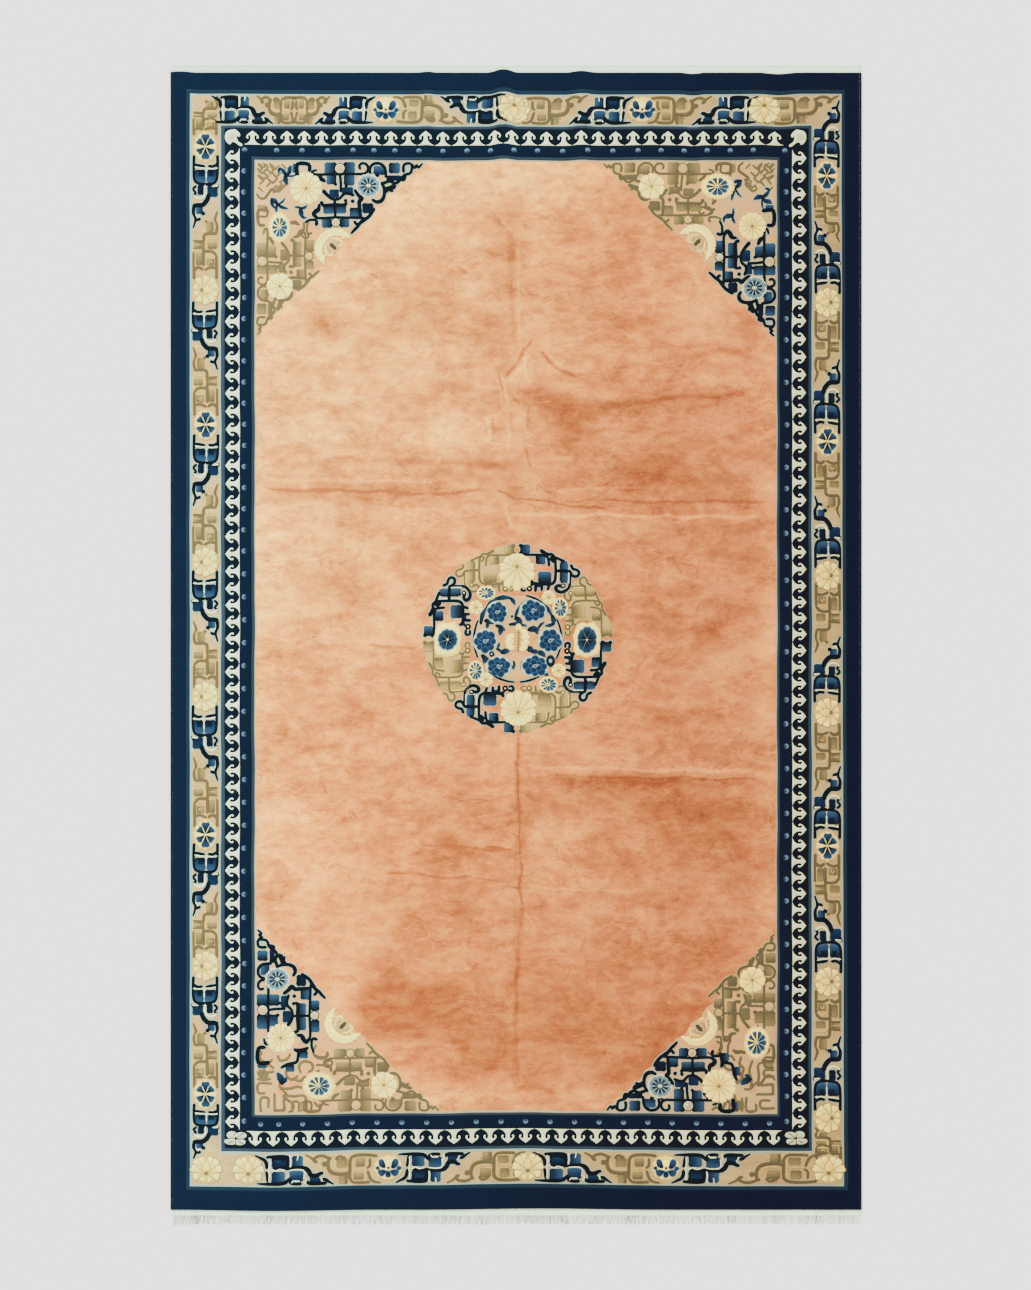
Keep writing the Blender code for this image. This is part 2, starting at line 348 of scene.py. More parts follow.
def ribbon(points, widths, per=3):
    """A drawn line with round ends, through the points, its width changing evenly between the given ones."""
    line = rounded(points, per, closed=False) if len(points) > 2 else list(points)
    last = len(line) - 1
    left, right = [], []
    for i, (x, y) in enumerate(line):
        a, b = line[max(0, i - 1)], line[min(last, i + 1)]
        length = math.hypot(b[0] - a[0], b[1] - a[1]) or 1.0
        nx, ny = -(b[1] - a[1]) / length, (b[0] - a[0]) / length
        at = i / last * (len(widths) - 1)
        k = min(int(at), len(widths) - 2)
        half = (widths[k] + (widths[k + 1] - widths[k]) * (at - k)) / 2
        left.append((x + nx * half, y + ny * half))
        right.append((x - nx * half, y - ny * half))
    tips = []
    for end, other, half in ((line[-1], line[-2], widths[-1] / 2), (line[0], line[1], widths[0] / 2)):
        dx, dy = end[0] - other[0], end[1] - other[1]
        length = math.hypot(dx, dy) or 1.0
        tips.append((end[0] + dx / length * half, end[1] + dy / length * half))
    return left + [tips[0]] + right[::-1] + [tips[1]]


def grown(outline, by):
    """The outline pushed outwards by a distance, or inwards by a negative one."""
    points = np.asarray(outline, float)
    by = by if area(points) > 0 else -by
    after = np.roll(points, -1, axis=0) - points
    after /= np.maximum(np.linalg.norm(after, axis=1), 1e-9)[:, None]
    before = np.roll(after, 1, axis=0)
    normal = np.stack([after[:, 1] + before[:, 1], -after[:, 0] - before[:, 0]], axis=1)
    size = np.maximum(np.linalg.norm(normal, axis=1), 0.7)
    normal = normal / size[:, None]
    return points + normal * by * np.minimum(2.0 / size, 1.5)[:, None]


def area(points):
    x, y = points[:, 0], points[:, 1]
    return 0.5 * float(np.sum(x * np.roll(y, -1) - np.roll(x, -1) * y))


def grid_faces(nx, ny):
    """The four-sided faces of a grid of nx by ny points, numbered row by row."""
    return [
        (j * nx + i, j * nx + i + 1, (j + 1) * nx + i + 1, (j + 1) * nx + i)
        for j in range(ny - 1)
        for i in range(nx - 1)
    ]


def grid_rim(nx, ny):
    """The outermost points of such a grid, all the way round from its first corner."""
    rim = list(range(nx)) + [j * nx + nx - 1 for j in range(1, ny)]
    return rim + [(ny - 1) * nx + i for i in range(nx - 2, -1, -1)] + [j * nx for j in range(ny - 2, 0, -1)]


# ---------------------------------------------------------------- drawing with patches of pile
LEVEL_GROUND = 0.0002  # height over the pile's face of the grounds of whole designs
LEVEL_UNDER = 0.0005  # of halos
LEVEL_LINE = 0.0008  # of pale lines and of the outlines of blocks
LEVEL_FILL = 0.0012  # of filled shapes
LEVEL_TOP = 0.0016  # of dark lines
LEVEL_DETAIL = 0.0020  # of the smallest details
LAYER = 0.00002  # how much higher each patch lies than the one drawn before it
LAYERS = 18  # a motif's layers, after which they start low again
BEVEL = 0.0007  # the carver's slope round each patch
BEVEL_DROP = 0.0006
ROOT_DEPTH = 0.0012  # how far a patch reaches down into the pile under it
LONGEST_SIDE = 0.022


MOTIF_CLOUDING = 0.16  # how much the dyes of the carved motifs are clouded
FLOWER_RISE = 0.0012  # the flowers stand a little over the frets that run up to them


class Drawing:
    """A group of pile patches that becomes one mesh."""

    def __init__(self, name):
        self.name = name
        self.flat = []
        self.heights = []
        self.lefts = []
        self.rights = []
        self.faces = []
        self.count = 0
        self.layer = 0
        self.raised = 0.0

    def motif(self, raised=0.0):
        """Starts a motif that lies beside the others, or raised over them, so its patches start low again."""
        self.layer = 0
        self.raised = raised

    def patch(self, outline, colour, level):
        points = np.asarray(outline, float)
        if area(points) < 0:
            points = points[::-1]
        points = split_long_sides(points)
        height = level + self.raised + LAYER * self.layer
        self.layer = (self.layer + 1) % LAYERS
        count = len(points)
        inner = grown(points, -BEVEL)
        edges = [(i, (i + 1) % count) for i in range(count)]
        extra = inner_points(inner)
        cut, _, triangles, origins, _, _ = delaunay_2d_cdt(
            [Vector(p) for p in inner] + extra, edges, [], 1, 1e-7
        )
        if not triangles:
            return
        top = np.array([(p.x, p.y) for p in cut])
        where = {origin: i for i, found in enumerate(origins) for origin in found}
        base = self.count
        low, mid, face = base, base + count, base + 2 * count
        self._add(points, np.full(count, -ROOT_DEPTH), colour)
        self._add(points, np.full(count, height - BEVEL_DROP), colour)
        self._add(top, np.full(len(top), height), colour)
        for i, j in edges:
            self.faces.append((low + i, low + j, mid + j, mid + i))
            if i in where and j in where:
                self.faces.append((mid + i, mid + j, face + where[j], face + where[i]))
        self.faces += [tuple(face + i for i in t) for t in triangles]

    def _add(self, points, heights, colour):
        first, second, share = colour, colour, np.zeros(len(points))
        if isinstance(colour, Fade):
            first, second = colour.first, colour.second
            dx, dy = colour.x1 - colour.x0, colour.y1 - colour.y0
            share = ((points[:, 0] - colour.x0) * dx + (points[:, 1] - colour.y0) * dy) / (dx * dx + dy * dy)
            share = np.clip(share, 0, 1)
        share = share[:, None]
        self.flat.append(points)
        self.heights.append(heights)
        self.lefts.append(first.left + (second.left - first.left) * share)
        self.rights.append(first.right + (second.right - first.right) * share)
        self.count += len(points)

    def finished(self, material):
        flat = np.concatenate(self.flat)
        x, y = settle(flat[:, 0], flat[:, 1])
        z = pile_face(x, y) + np.concatenate(self.heights)
        side = side_share(x, y)[:, None]
        colours = np.concatenate(self.lefts) * (1 - side) + np.concatenate(self.rights) * side
        points = np.stack([x, y, z], axis=1)
        return make_mesh(self.name, points, self.faces, colours, [material], MOTIF_CLOUDING)


def split_long_sides(points):
    result = []
    for a, b in zip(points, np.roll(points, -1, axis=0)):
        length = math.dist(a, b)
        if length < 1e-5:
            continue
        pieces = max(1, math.ceil(length / LONGEST_SIDE))
        result += [a + (b - a) * k / pieces for k in range(pieces)]
    return np.array(result)


def inner_points(outline):
    """A loose grid inside a large outline, so that its patch can follow the folds."""
    low, high = outline.min(axis=0), outline.max(axis=0)
    if min(high - low) < 2 * LONGEST_SIDE:
        return []
    found = []
    for x in np.arange(low[0] + LONGEST_SIDE, high[0] - 0.006, LONGEST_SIDE):
        for y in np.arange(low[1] + LONGEST_SIDE, high[1] - 0.006, LONGEST_SIDE):
            gaps = np.linalg.norm(outline - (x, y), axis=1)
            if gaps.min() > LONGEST_SIDE / 2:
                found.append(Vector((x, y)))
    return found


def make_mesh(name, points, faces, colours, materials, clouding=0.0):
    """A piece whose points carry their dye, and how much the dye is clouded in the alpha channel."""
    mesh = bpy.data.meshes.new(name)
    mesh.from_pydata([tuple(p) for p in points], [], faces)
    attribute = mesh.color_attributes.new("dye", "FLOAT_COLOR", "POINT")
    shades = np.ones((len(points), 4), np.float32)
    shades[:, :3] = np.clip(colours, 0, 1)
    shades[:, 3] = clouding
    attribute.data.foreach_set("color", shades.ravel())
    mesh.shade_smooth()
    for material in materials:
        mesh.materials.append(material)
    mesh.update()
    piece = bpy.data.objects.new(name, mesh)
    bpy.context.scene.collection.objects.link(piece)
    return piece


# ---------------------------------------------------------------- materials
class Nodes:
    """Short hands for building one node material."""

    def __init__(self, name, roughness, specular, sheen, sheen_roughness):
        self.material = bpy.data.materials.new(name)
        self.material.use_nodes = True
        self.tree = self.material.node_tree
        self.shader = self.tree.nodes["Principled BSDF"]
        self.shader.inputs["Roughness"].default_value = roughness
        self.shader.inputs["Specular IOR Level"].default_value = specular
        self.shader.inputs["Sheen Weight"].default_value = sheen
        self.shader.inputs["Sheen Roughness"].default_value = sheen_roughness

    def link(self, source, target):
        if hasattr(source, "is_output"):
            self.tree.links.new(source, target)
        elif isinstance(source, (tuple, list)) and len(source) == 3 and target.type == "RGBA":
            target.default_value = (*source, 1.0)
        else:
            target.default_value = source

    def add(self, kind, **settings):
        node = self.tree.nodes.new("ShaderNode" + kind)
        for key, value in settings.items():
            setattr(node, key, value)
        return node

    def attribute(self, name, output="Color"):
        return self.add("Attribute", attribute_name=name).outputs[output]

    def coordinates(self, scale=(1.0, 1.0, 1.0)):
        mapping = self.add("Mapping")
        self.link(self.add("TexCoord").outputs["Object"], mapping.inputs["Vector"])
        mapping.inputs["Scale"].default_value = scale
        return mapping.outputs["Vector"]

    def noise(self, scale, detail, roughness=0.5, stretch=(1.0, 1.0, 1.0), distortion=0.0):
        node = self.add("TexNoise")
        self.link(self.coordinates(stretch), node.inputs["Vector"])
        node.inputs["Scale"].default_value = scale
        node.inputs["Detail"].default_value = detail
        node.inputs["Roughness"].default_value = roughness
        node.inputs["Distortion"].default_value = distortion
        return node.outputs["Fac"]

    def wave(self, scale, direction, distortion, detail):
        node = self.add("TexWave", bands_direction=direction)
        self.link(self.coordinates(), node.inputs["Vector"])
        node.inputs["Scale"].default_value = scale
        node.inputs["Distortion"].default_value = distortion
        node.inputs["Detail"].default_value = detail
        return node.outputs["Fac"]

    def math(self, operation, first, second=0.0):
        node = self.add("Math", operation=operation)
        self.link(first, node.inputs[0])
        self.link(second, node.inputs[1])
        return node.outputs[0]

    def plane(self, x, y, by_x, by_y, plus):
        """x * by_x + y * by_y + plus."""
        first = self.add("Math", operation="MULTIPLY_ADD")
        for socket, value in zip(first.inputs, (y, by_y, plus)):
            self.link(value, socket)
        second = self.add("Math", operation="MULTIPLY_ADD")
        for socket, value in zip(second.inputs, (x, by_x, first.outputs[0])):
            self.link(value, socket)
        return second.outputs[0]

    def spread(self, value, low, high, to_low=0.0, to_high=1.0):
        """Value from low to high becomes to_low to to_high, and stays within them."""
        node = self.add("MapRange", clamp=True)
        for socket, number in zip(node.inputs[:5], (value, low, high, to_low, to_high)):
            self.link(number, socket)
        return node.outputs[0]

    def mix(self, share, first, second, blend="MIX"):
        node = self.add("Mix", data_type="RGBA", blend_type=blend)
        self.link(share, node.inputs["Factor"])
        self.link(first, node.inputs[6])
        self.link(second, node.inputs[7])
        return node.outputs[2]

    def bump(self, height, distance, strength, under=None):
        node = self.add("Bump")
        node.inputs["Strength"].default_value = strength
        node.inputs["Distance"].default_value = distance
        self.link(height, node.inputs["Height"])
        if under is not None:
            self.link(under, node.inputs["Normal"])
        return node.outputs["Normal"]

    def done(self, colour, normal):
        self.link(colour, self.shader.inputs["Base Color"])
        self.link(normal, self.shader.inputs["Normal"])
        return self.material


# Lines of painted shade and highlight along the field's folds and creases: ends in photo pixels, half width
# in metres, and tone, negative where shade is painted and positive where a highlight is painted.
PaintedFoldLine = namedtuple("PaintedFoldLine", "px0 py0 px1 py1 half_width tone")
PAINTED_FOLD_LINES = (
    PaintedFoldLine(517.5, 722, 519.5, 864, 0.018, -0.50),
    PaintedFoldLine(517.5, 722, 519.5, 864, 0.006, -0.60),
    PaintedFoldLine(519.5, 858, 521.0, 906, 0.010, -1.00),
    PaintedFoldLine(521.0, 898, 516.5, 990, 0.015, -0.60),
    PaintedFoldLine(516.5, 984, 518.0, 1088, 0.012, -0.40),
    PaintedFoldLine(511.0, 225, 512.0, 350, 0.020, -0.45),
    PaintedFoldLine(518.5, 240, 519.5, 345, 0.012, 0.45),
    PaintedFoldLine(526.0, 345, 527.0, 380, 0.010, 0.60),
    PaintedFoldLine(504.0, 380, 532.0, 338, 0.010, -1.00),
    PaintedFoldLine(510.0, 381, 530.0, 352, 0.007, 0.70),
    PaintedFoldLine(541.0, 350, 553.0, 368, 0.009, -1.00),
    PaintedFoldLine(552.0, 367, 576.0, 379, 0.009, -1.00),
    PaintedFoldLine(548.0, 353, 560.0, 367, 0.008, 0.60),
    PaintedFoldLine(497.0, 372, 504.0, 390, 0.007, -0.80),
    PaintedFoldLine(504.0, 386, 509.0, 404, 0.008, 0.70),
    PaintedFoldLine(513.0, 398, 520.0, 404, 0.007, -0.80),
    PaintedFoldLine(488.0, 416, 490.0, 442, 0.007, 0.60),
    PaintedFoldLine(493.0, 414, 494.0, 436, 0.006, -0.50),
    PaintedFoldLine(530.0, 404, 527.0, 430, 0.009, -0.60),
    PaintedFoldLine(536.0, 402, 552.0, 401, 0.007, 0.60),
    PaintedFoldLine(509.0, 412, 508.0, 446, 0.009, 0.55),
    PaintedFoldLine(524.0, 446, 531.0, 470, 0.009, -0.55),
    PaintedFoldLine(537.0, 484, 552.0, 494, 0.006, -0.70),
    PaintedFoldLine(497.0, 489, 515.0, 500, 0.008, -0.90),
    PaintedFoldLine(505.0, 505, 512.0, 530, 0.012, 0.60),
    PaintedFoldLine(519.0, 500, 545.0, 512, 0.006, -0.60),
    PaintedFoldLine(483.0, 845, 514.0, 849, 0.008, -0.80),
    PaintedFoldLine(500.0, 884, 540.0, 890, 0.006, -0.60),
    PaintedFoldLine(522.0, 911, 536.0, 928, 0.006, 0.50),
    PaintedFoldLine(455.0, 802, 497.0, 801, 0.007, -0.50),
    PaintedFoldLine(592.0, 406, 757.0, 392, 0.020, -0.70),
    PaintedFoldLine(258.0, 488, 432.0, 494, 0.010, -0.90),
    PaintedFoldLine(430.0, 494, 482.0, 491, 0.010, -0.90),
    PaintedFoldLine(262.0, 479, 440.0, 482, 0.010, 0.45),
    PaintedFoldLine(340.0, 459, 516.0, 466, 0.022, -0.50),
    PaintedFoldLine(514.0, 498, 610.0, 510, 0.009, -0.90),
    PaintedFoldLine(560.0, 500, 776.0, 503, 0.008, -0.70),
    PaintedFoldLine(545.0, 490, 650.0, 486, 0.008, 0.60),
    PaintedFoldLine(490.0, 514, 776.0, 519, 0.011, 0.85),
    PaintedFoldLine(365.0, 645, 417.0, 648, 0.011, -0.75),
    PaintedFoldLine(536.0, 768, 776.0, 771, 0.012, 0.75),
    PaintedFoldLine(530.0, 780, 776.0, 785, 0.032, -0.55),
    PaintedFoldLine(530.0, 776, 776.0, 779, 0.007, -0.60),
    PaintedFoldLine(378.0, 872, 516.0, 881, 0.009, -0.70),
    PaintedFoldLine(420.0, 845, 506.0, 850, 0.008, -0.55),
    PaintedFoldLine(522.0, 888, 640.0, 892, 0.010, 0.50),
    PaintedFoldLine(360.0, 1044, 650.0, 1047, 0.016, 0.50),
)

# What the dyes turn to at the deepest and palest of their clouds and soft areas, and where shade and
# highlight are painted strongest.
DEEPER = (0.56, 0.46, 0.53)
LIGHTER = (1.45, 1.85, 1.75)


def painted_fold_tone(nodes):
    """The sum of the painted shade and highlight lines, which wander a little."""
    split = nodes.add("SeparateXYZ")
    nodes.link(nodes.coordinates(), split.inputs[0])
    x, y = split.outputs[0], split.outputs[1]
    sway = nodes.math("MULTIPLY", nodes.math("SUBTRACT", nodes.noise(7.0, 4.0, 0.6), 0.5), 0.05)
    total = 0.0
    for line in PAINTED_FOLD_LINES:
        x0, y0 = place(line.px0, line.py0)
        x1, y1 = place(line.px1, line.py1)
        length = math.hypot(x1 - x0, y1 - y0)
        ux, uy = (x1 - x0) / length, (y1 - y0) / length
        beside = nodes.math("ADD", nodes.plane(x, y, -uy, ux, x0 * uy - y0 * ux), sway)
        body = nodes.spread(nodes.math("ABSOLUTE", beside), line.half_width, 0.0, 0.0, line.tone)
        share = nodes.plane(x, y, ux / length, uy / length, -(x0 * ux + y0 * uy) / length - 0.5)
        ends = nodes.spread(nodes.math("ABSOLUTE", share), 0.5, 0.38)
        tone = nodes.math("MULTIPLY", body, ends)
        total = nodes.math("ADD", tone, total)
    return total


def wrinkle_shading(nodes):
    """Painted shade in thin wandering lines with a painted highlight beside them, gathered in some places,
    where the pile was bent.
    """
    value = nodes.math("SUBTRACT", nodes.noise(7.0, 3.0, 0.5, (1.0, 1.7, 1.0), 0.5), 0.5)
    dark = nodes.spread(nodes.math("ABSOLUTE", value), 0.017, 0.0)
    beside = nodes.math("ABSOLUTE", nodes.math("SUBTRACT", value, 0.035))
    lines = nodes.math("SUBTRACT", dark, nodes.spread(beside, 0.030, 0.0, 0.0, 0.6))
    where = nodes.spread(nodes.noise(3.3, 3.0, 0.6, (1.0, 1.4, 1.0)), 0.47, 0.58)
    return nodes.math("MULTIPLY", lines, where)


def wool_colour(nodes, fold_shaded=False):
    """Dyed wool: abrash in slow clouds and crosswise streaks, and an uneven tone from knot to knot. For the
    field, painted shade and highlight along its folds and bent pile are added too.
    """
    colour = nodes.attribute("dye")
    share = nodes.attribute("dye", "Alpha")
    deep = nodes.mix(1.0, colour, DEEPER, "MULTIPLY")
    pale = nodes.mix(1.0, colour, LIGHTER, "MULTIPLY")
    clouds = nodes.noise(1.7, 5.0, 0.58, (1.0, 1.4, 1.0), 0.6)
    streaks = nodes.noise(3.4, 4.0, 0.7, (1.0, 3.4, 1.0), 0.5)
    stains = nodes.noise(8.0, 5.0, 0.62, (1.0, 1.15, 1.0), 1.1)
    brushed = nodes.noise(36.0, 3.0, 0.7, (0.55, 1.0, 1.0), 0.6)
    mottle = nodes.math("ADD", nodes.math("MULTIPLY", clouds, 0.28), nodes.math("MULTIPLY", streaks, 0.24))
    mottle = nodes.math("ADD", mottle, nodes.math("MULTIPLY", stains, 0.26))
    mottle = nodes.math("ADD", mottle, nodes.math("MULTIPLY", brushed, 0.22))
    if fold_shaded:
        # painted shade and highlight along the field's folds and where its pile was bent
        mottle = nodes.math("ADD", mottle, nodes.math("MULTIPLY", painted_fold_tone(nodes), 0.13))
        mottle = nodes.math("SUBTRACT", mottle, nodes.math("MULTIPLY", wrinkle_shading(nodes), 0.05))
    deepened = nodes.math("MULTIPLY", nodes.spread(mottle, 0.500, 0.395), share)
    paled = nodes.math("MULTIPLY", nodes.spread(mottle, 0.495, 0.615), share)
    colour = nodes.mix(deepened, colour, deep)
    colour = nodes.mix(paled, colour, pale)
    knots = nodes.noise(210.0, 2.0, 0.6)
    tone = nodes.spread(knots, 0.3, 0.7, 0.88, 1.10)
    grey = nodes.add("CombineColor")
    for socket in grey.inputs[:3]:
        nodes.link(tone, socket)
    return nodes.mix(1.0, colour, grey.outputs[0], "MULTIPLY")


def wool_material(name, fold_shaded=False):
    """Clipped pile: tufts a few millimetres across, and a soft nap with shallow dents."""
    nodes = Nodes(name, 0.95, 0.10, 0.06, 0.5)
    colour = wool_colour(nodes, fold_shaded)
    dents = nodes.bump(nodes.noise(30.0, 3.0, 0.6, (1.0, 1.5, 1.0)), 0.004, 0.35)
    tufts = nodes.bump(nodes.noise(330.0, 3.0, 0.7), 0.0015, 0.55, dents)
    return nodes.done(colour, tufts)


def back_material():
    """The woven back: rows of small knot loops."""
    nodes = Nodes("woven_back", 0.9, 0.12, 0.05, 0.5)
    colour = wool_colour(nodes)
    rows = nodes.bump(nodes.wave(110.0, "Y", 0.3, 1.0), 0.0012, 0.7)
    knots = nodes.bump(nodes.wave(110.0, "X", 0.3, 1.0), 0.0010, 0.6, rows)
    return nodes.done(colour, knots)


def yarn_material():
    """Overcast wool yarn with its twist."""
    nodes = Nodes("overcast_yarn", 0.9, 0.12, 0.08, 0.5)
    fibres = nodes.noise(500.0, 3.0, 0.6, (1.0, 0.35, 1.0))
    twist = nodes.spread(fibres, 0.35, 0.65)
    colour = nodes.mix(twist, nodes.attribute("dye"), (0.75, 0.8, 0.85), "MULTIPLY")
    return nodes.done(colour, nodes.bump(fibres, 0.0006, 0.6))


def cotton_material(name, soiling):
    """Undyed cotton: short fibres, slightly soiled."""
    nodes = Nodes(name, 0.9, 0.12, 0.10, 0.5)
    fibres = nodes.noise(420.0, 3.0, 0.65, (1.0, 0.25, 1.0))
    soil = nodes.spread(nodes.noise(14.0, 4.0, 0.6), 0.45, 0.75, 0.0, soiling)
    colour = nodes.mix(soil, nodes.attribute("dye"), (0.80, 0.78, 0.70), "MULTIPLY")
    colour = nodes.mix(nodes.spread(fibres, 0.3, 0.7, 0.0, 0.5), colour, (0.86, 0.86, 0.84), "MULTIPLY")
    return nodes.done(colour, nodes.bump(fibres, 0.0006, 0.6))


def floor_material():
    nodes = Nodes("studio_floor", 0.8, 0.2, 0.0, 0.5)
    grain = nodes.noise(60.0, 2.0)
    colour = nodes.mix(nodes.spread(grain, 0.4, 0.6), (0.88, 0.88, 0.875), (0.90, 0.90, 0.895))
    return nodes.done(colour, nodes.bump(grain, 0.0004, 0.2))


# ---------------------------------------------------------------- the pile and its stripes
# Each stripe's dye and its inner edges, from the carpet's rim inwards.
Stripe = namedtuple("Stripe", "dye left_px right_px top_py bottom_py")
STRIPES = (
    Stripe(NAVY, 186.0, 846.5, 89.5, 1190.3),
    Stripe(GUARD, 189.7, 842.9, 93.7, 1186.4),
    Stripe(LINE, 191.5, 841.5, 95.5, 1184.6),
    Stripe(GROUND, 218.9, 813.5, 123.5, 1153.6),
    Stripe(LINE, 220.7, 812.0, 125.4, 1151.3),
    Stripe(GUARD_SOFT, 224.5, 809.0, 128.1, 1148.3),
    Stripe(CLOUD_DARK, 239.8, 792.2, 144.8, 1130.5),
    Stripe(PEARL_BAND, 251.4, 779.8, 156.3, 1117.0),
    Stripe(INNER_GUARD, 254.5, 777.3, 159.5, 1114.6),
    Stripe(FIELD_LINE, 256.0, 775.8, 161.2, 1112.3),
)
EDGE_SLACK = 1e-5  # grid lines this near a stripe's edge lie on it
GROOVE = 0.0016  # half width of the groove clipped along each stripe's edge
GROOVE_DEPTH = 0.0009
RIM = (0.0, 0.0010, 0.0030, 0.0060)  # lines just inside the rim
RIM_DROP = (0.0040, 0.0018, 0.0006, 0.0)  # how far the pile rounds down on them
ACROSS_STEP = 0.026
ALONG_STEP = 0.0135
BACK_STEP = 0.040
CREASE_LINES = [k * 0.008 for k in range(-5, 6)]
FOUNDATION = 0.0028  # knots and wefts, the part of the thickness under the pile


def stripe_box(stripe):
    x0, y0 = place(stripe.left_px, stripe.bottom_py)
    x1, y1 = place(stripe.right_px, stripe.top_py)
    return x0, x1, y0, y1


def fill_lines(fixed, step):
    """Sorted grid lines: the fixed ones, with even steps wherever they lie further apart."""
    fixed = sorted(set(round(f, 6) for f in fixed))
    lines = []
    for a, b in zip(fixed, fixed[1:]):
        pieces = max(1, math.ceil((b - a) / step))
        lines += [a + (b - a) * k / pieces for k in range(pieces)]
    return np.array(lines + [fixed[-1]])


def grid_lines(low, high, edges, beside, rims, step, extra=()):
    fixed = [low + r for r in rims] + [high - r for r in rims] + list(extra)
    fixed += [edge + offset for edge in edges for offset in beside]
    return fill_lines(fixed, step)


def inside_box(x, y, box, margin):
    """Which points lie inside a box that is drawn in by a margin on every side."""
    x0, x1, y0, y1 = box
    return (x > x0 + margin) & (x < x1 - margin) & (y > y0 + margin) & (y < y1 - margin)


def stripe_depth(x, y):
    """How many stripes' inner edges enclose each point."""
    depth = np.zeros(x.shape, int)
    for stripe in STRIPES:
        depth += inside_box(x, y, stripe_box(stripe), EDGE_SLACK)
    return depth


def near_edge(x, y, box):
    return inside_box(x, y, box, -EDGE_SLACK) & ~inside_box(x, y, box, EDGE_SLACK)


# Soft areas where the pile is deeper or paler: middle in photo pixels, half length and half width in metres.
NapArea = namedtuple("NapArea", "px py along_x along_y tone")
NAP_AREAS = (
    NapArea(404, 1012, 0.24, 0.13, -0.95),
    NapArea(500, 1014, 0.55, 0.17, -0.60),
    NapArea(560, 1062, 0.62, 0.16, -0.45),
    NapArea(450, 930, 0.50, 0.40, -0.25),
    NapArea(712, 634, 0.07, 0.05, -0.75),
    NapArea(416, 314, 0.20, 0.12, -0.70),
    NapArea(322, 315, 0.08, 0.10, -0.60),
    NapArea(500, 300, 0.10, 0.36, -0.55),
    NapArea(582, 296, 0.20, 0.22, -0.30),
    NapArea(556, 408, 0.15, 0.10, -0.85),
    NapArea(655, 402, 0.42, 0.07, -0.45),
    NapArea(336, 606, 0.16, 0.20, -0.35),
    NapArea(400, 806, 0.52, 0.16, -0.20),
    NapArea(640, 800, 0.46, 0.14, -0.35),
    NapArea(726, 842, 0.26, 0.22, -0.30),
    NapArea(469, 894, 0.08, 0.06, -0.35),
    NapArea(452, 484, 0.90, 0.10, -0.40),
    NapArea(660, 462, 0.50, 0.11, -0.35),
    NapArea(520, 600, 0.95, 0.40, -0.10),
    NapArea(330, 1020, 0.14, 0.20, 0.55),
    NapArea(300, 1070, 0.30, 0.12, 0.45),
    NapArea(285, 850, 0.18, 0.32, 0.35),
    NapArea(745, 1000, 0.12, 0.24, 0.30),
    NapArea(520, 176, 0.95, 0.12, 0.40),
    NapArea(450, 440, 0.20, 0.08, 0.45),
    NapArea(320, 428, 0.30, 0.08, 0.35),
    NapArea(610, 527, 0.28, 0.05, 0.40),
    NapArea(560, 832, 0.15, 0.05, 0.40),
    NapArea(268, 560, 0.09, 0.30, 0.35),
    NapArea(530, 1092, 0.55, 0.05, 0.40),
)


def nap_areas(x, y):
    """Tone of the soft areas, whose rims wander, at each point."""
    tone = np.zeros_like(x)
    for spread in NAP_AREAS:
        x0, y0 = place(spread.px, spread.py)
        across = (x - x0) / spread.along_x + 0.16 * np.sin(9.0 * y + spread.px)
        across += 0.08 * np.sin(23.0 * y + spread.py)
        up = (y - y0) / spread.along_y + 0.20 * np.sin(7.0 * x + spread.py)
        up += 0.10 * np.sin(19.0 * x + spread.px)
        tone += spread.tone * ease(1.35 - np.sqrt(across * across + up * up))
    return tone


def field_colour(x, y):
    """The field's salmon: paler at the top and left, deeper to the right and the bottom."""
    warmth = np.clip(0.52 - 0.24 * y / 1.8 + 0.13 * x / 1.0, 0, 1)
    side = ease(0.5 + x / 2.1)[:, None]
    pale = FIELD_PALE.left * (1 - side) + FIELD_PALE.right * side
    warm = FIELD_WARM.left * (1 - side) + FIELD_WARM.right * side
    deep = FIELD_DEEP.left * (1 - side) + FIELD_DEEP.right * side
    low = np.clip(warmth * 2, 0, 1)[:, None]
    high = np.clip(warmth * 2 - 1, 0, 1)[:, None]
    colour = pale * (1 - low) + warm * low
    colour = colour * (1 - high) + deep * high
    x0, x1, y0, y1 = stripe_box(STRIPES[-1])
    margin = np.minimum(np.minimum(x - x0, x1 - x), np.minimum(y - y0, y1 - y))
    paler = 0.30 * (1 - ease(margin / 0.12))[:, None]
    colour = colour * (1 - paler) + pale * paler
    tone = nap_areas(x, y)[:, None]
    deeper = np.clip(-0.95 * tone, 0, 1)
    lighter = np.clip(0.75 * tone, 0, 1)
    colour = colour * (1 + deeper * (np.array(DEEPER) - 1))
    return colour * (1 + lighter * (np.array(LIGHTER) - 1))


def pile_colours(x, y):
    """Each point's dye by the stripe that it lies in."""
    depth = stripe_depth(x, y)
    side = side_share(x, y)[:, None]
    # Along the creases, painted shade and highlight darken or pale the field's colour.
    colours = field_colour(x, y) * (1 + crease_shade_and_depth(*settle(x, y))[0][:, None])
    for number, stripe in enumerate(STRIPES):
        mask = depth == number
        tone = stripe.dye.left * (1 - side[mask]) + stripe.dye.right * side[mask]
        colours[mask] = tone
    return colours


# How much the dyes are clouded, stripe by stripe: half on the main border's ground and fully on the field.
STRIPE_CLOUDING = (0.10, 0.10, 0.10, 0.45, 0.10, 0.10, 0.10, 0.10, 0.10, 0.30, 1.0)


def carve(flat_x, flat_y):
    """How far the face is cut down in the grooves between the stripes and rounded at the rim."""
    groove = np.zeros(len(flat_x))
    for stripe in STRIPES:
        groove = np.where(near_edge(flat_x, flat_y, stripe_box(stripe)), GROOVE_DEPTH, groove)
    to_rim = np.minimum(HALF_BODY - np.abs(flat_x), np.minimum(flat_y - PILE_BOTTOM, PILE_TOP - flat_y))
    return groove, np.interp(to_rim, RIM, RIM_DROP)


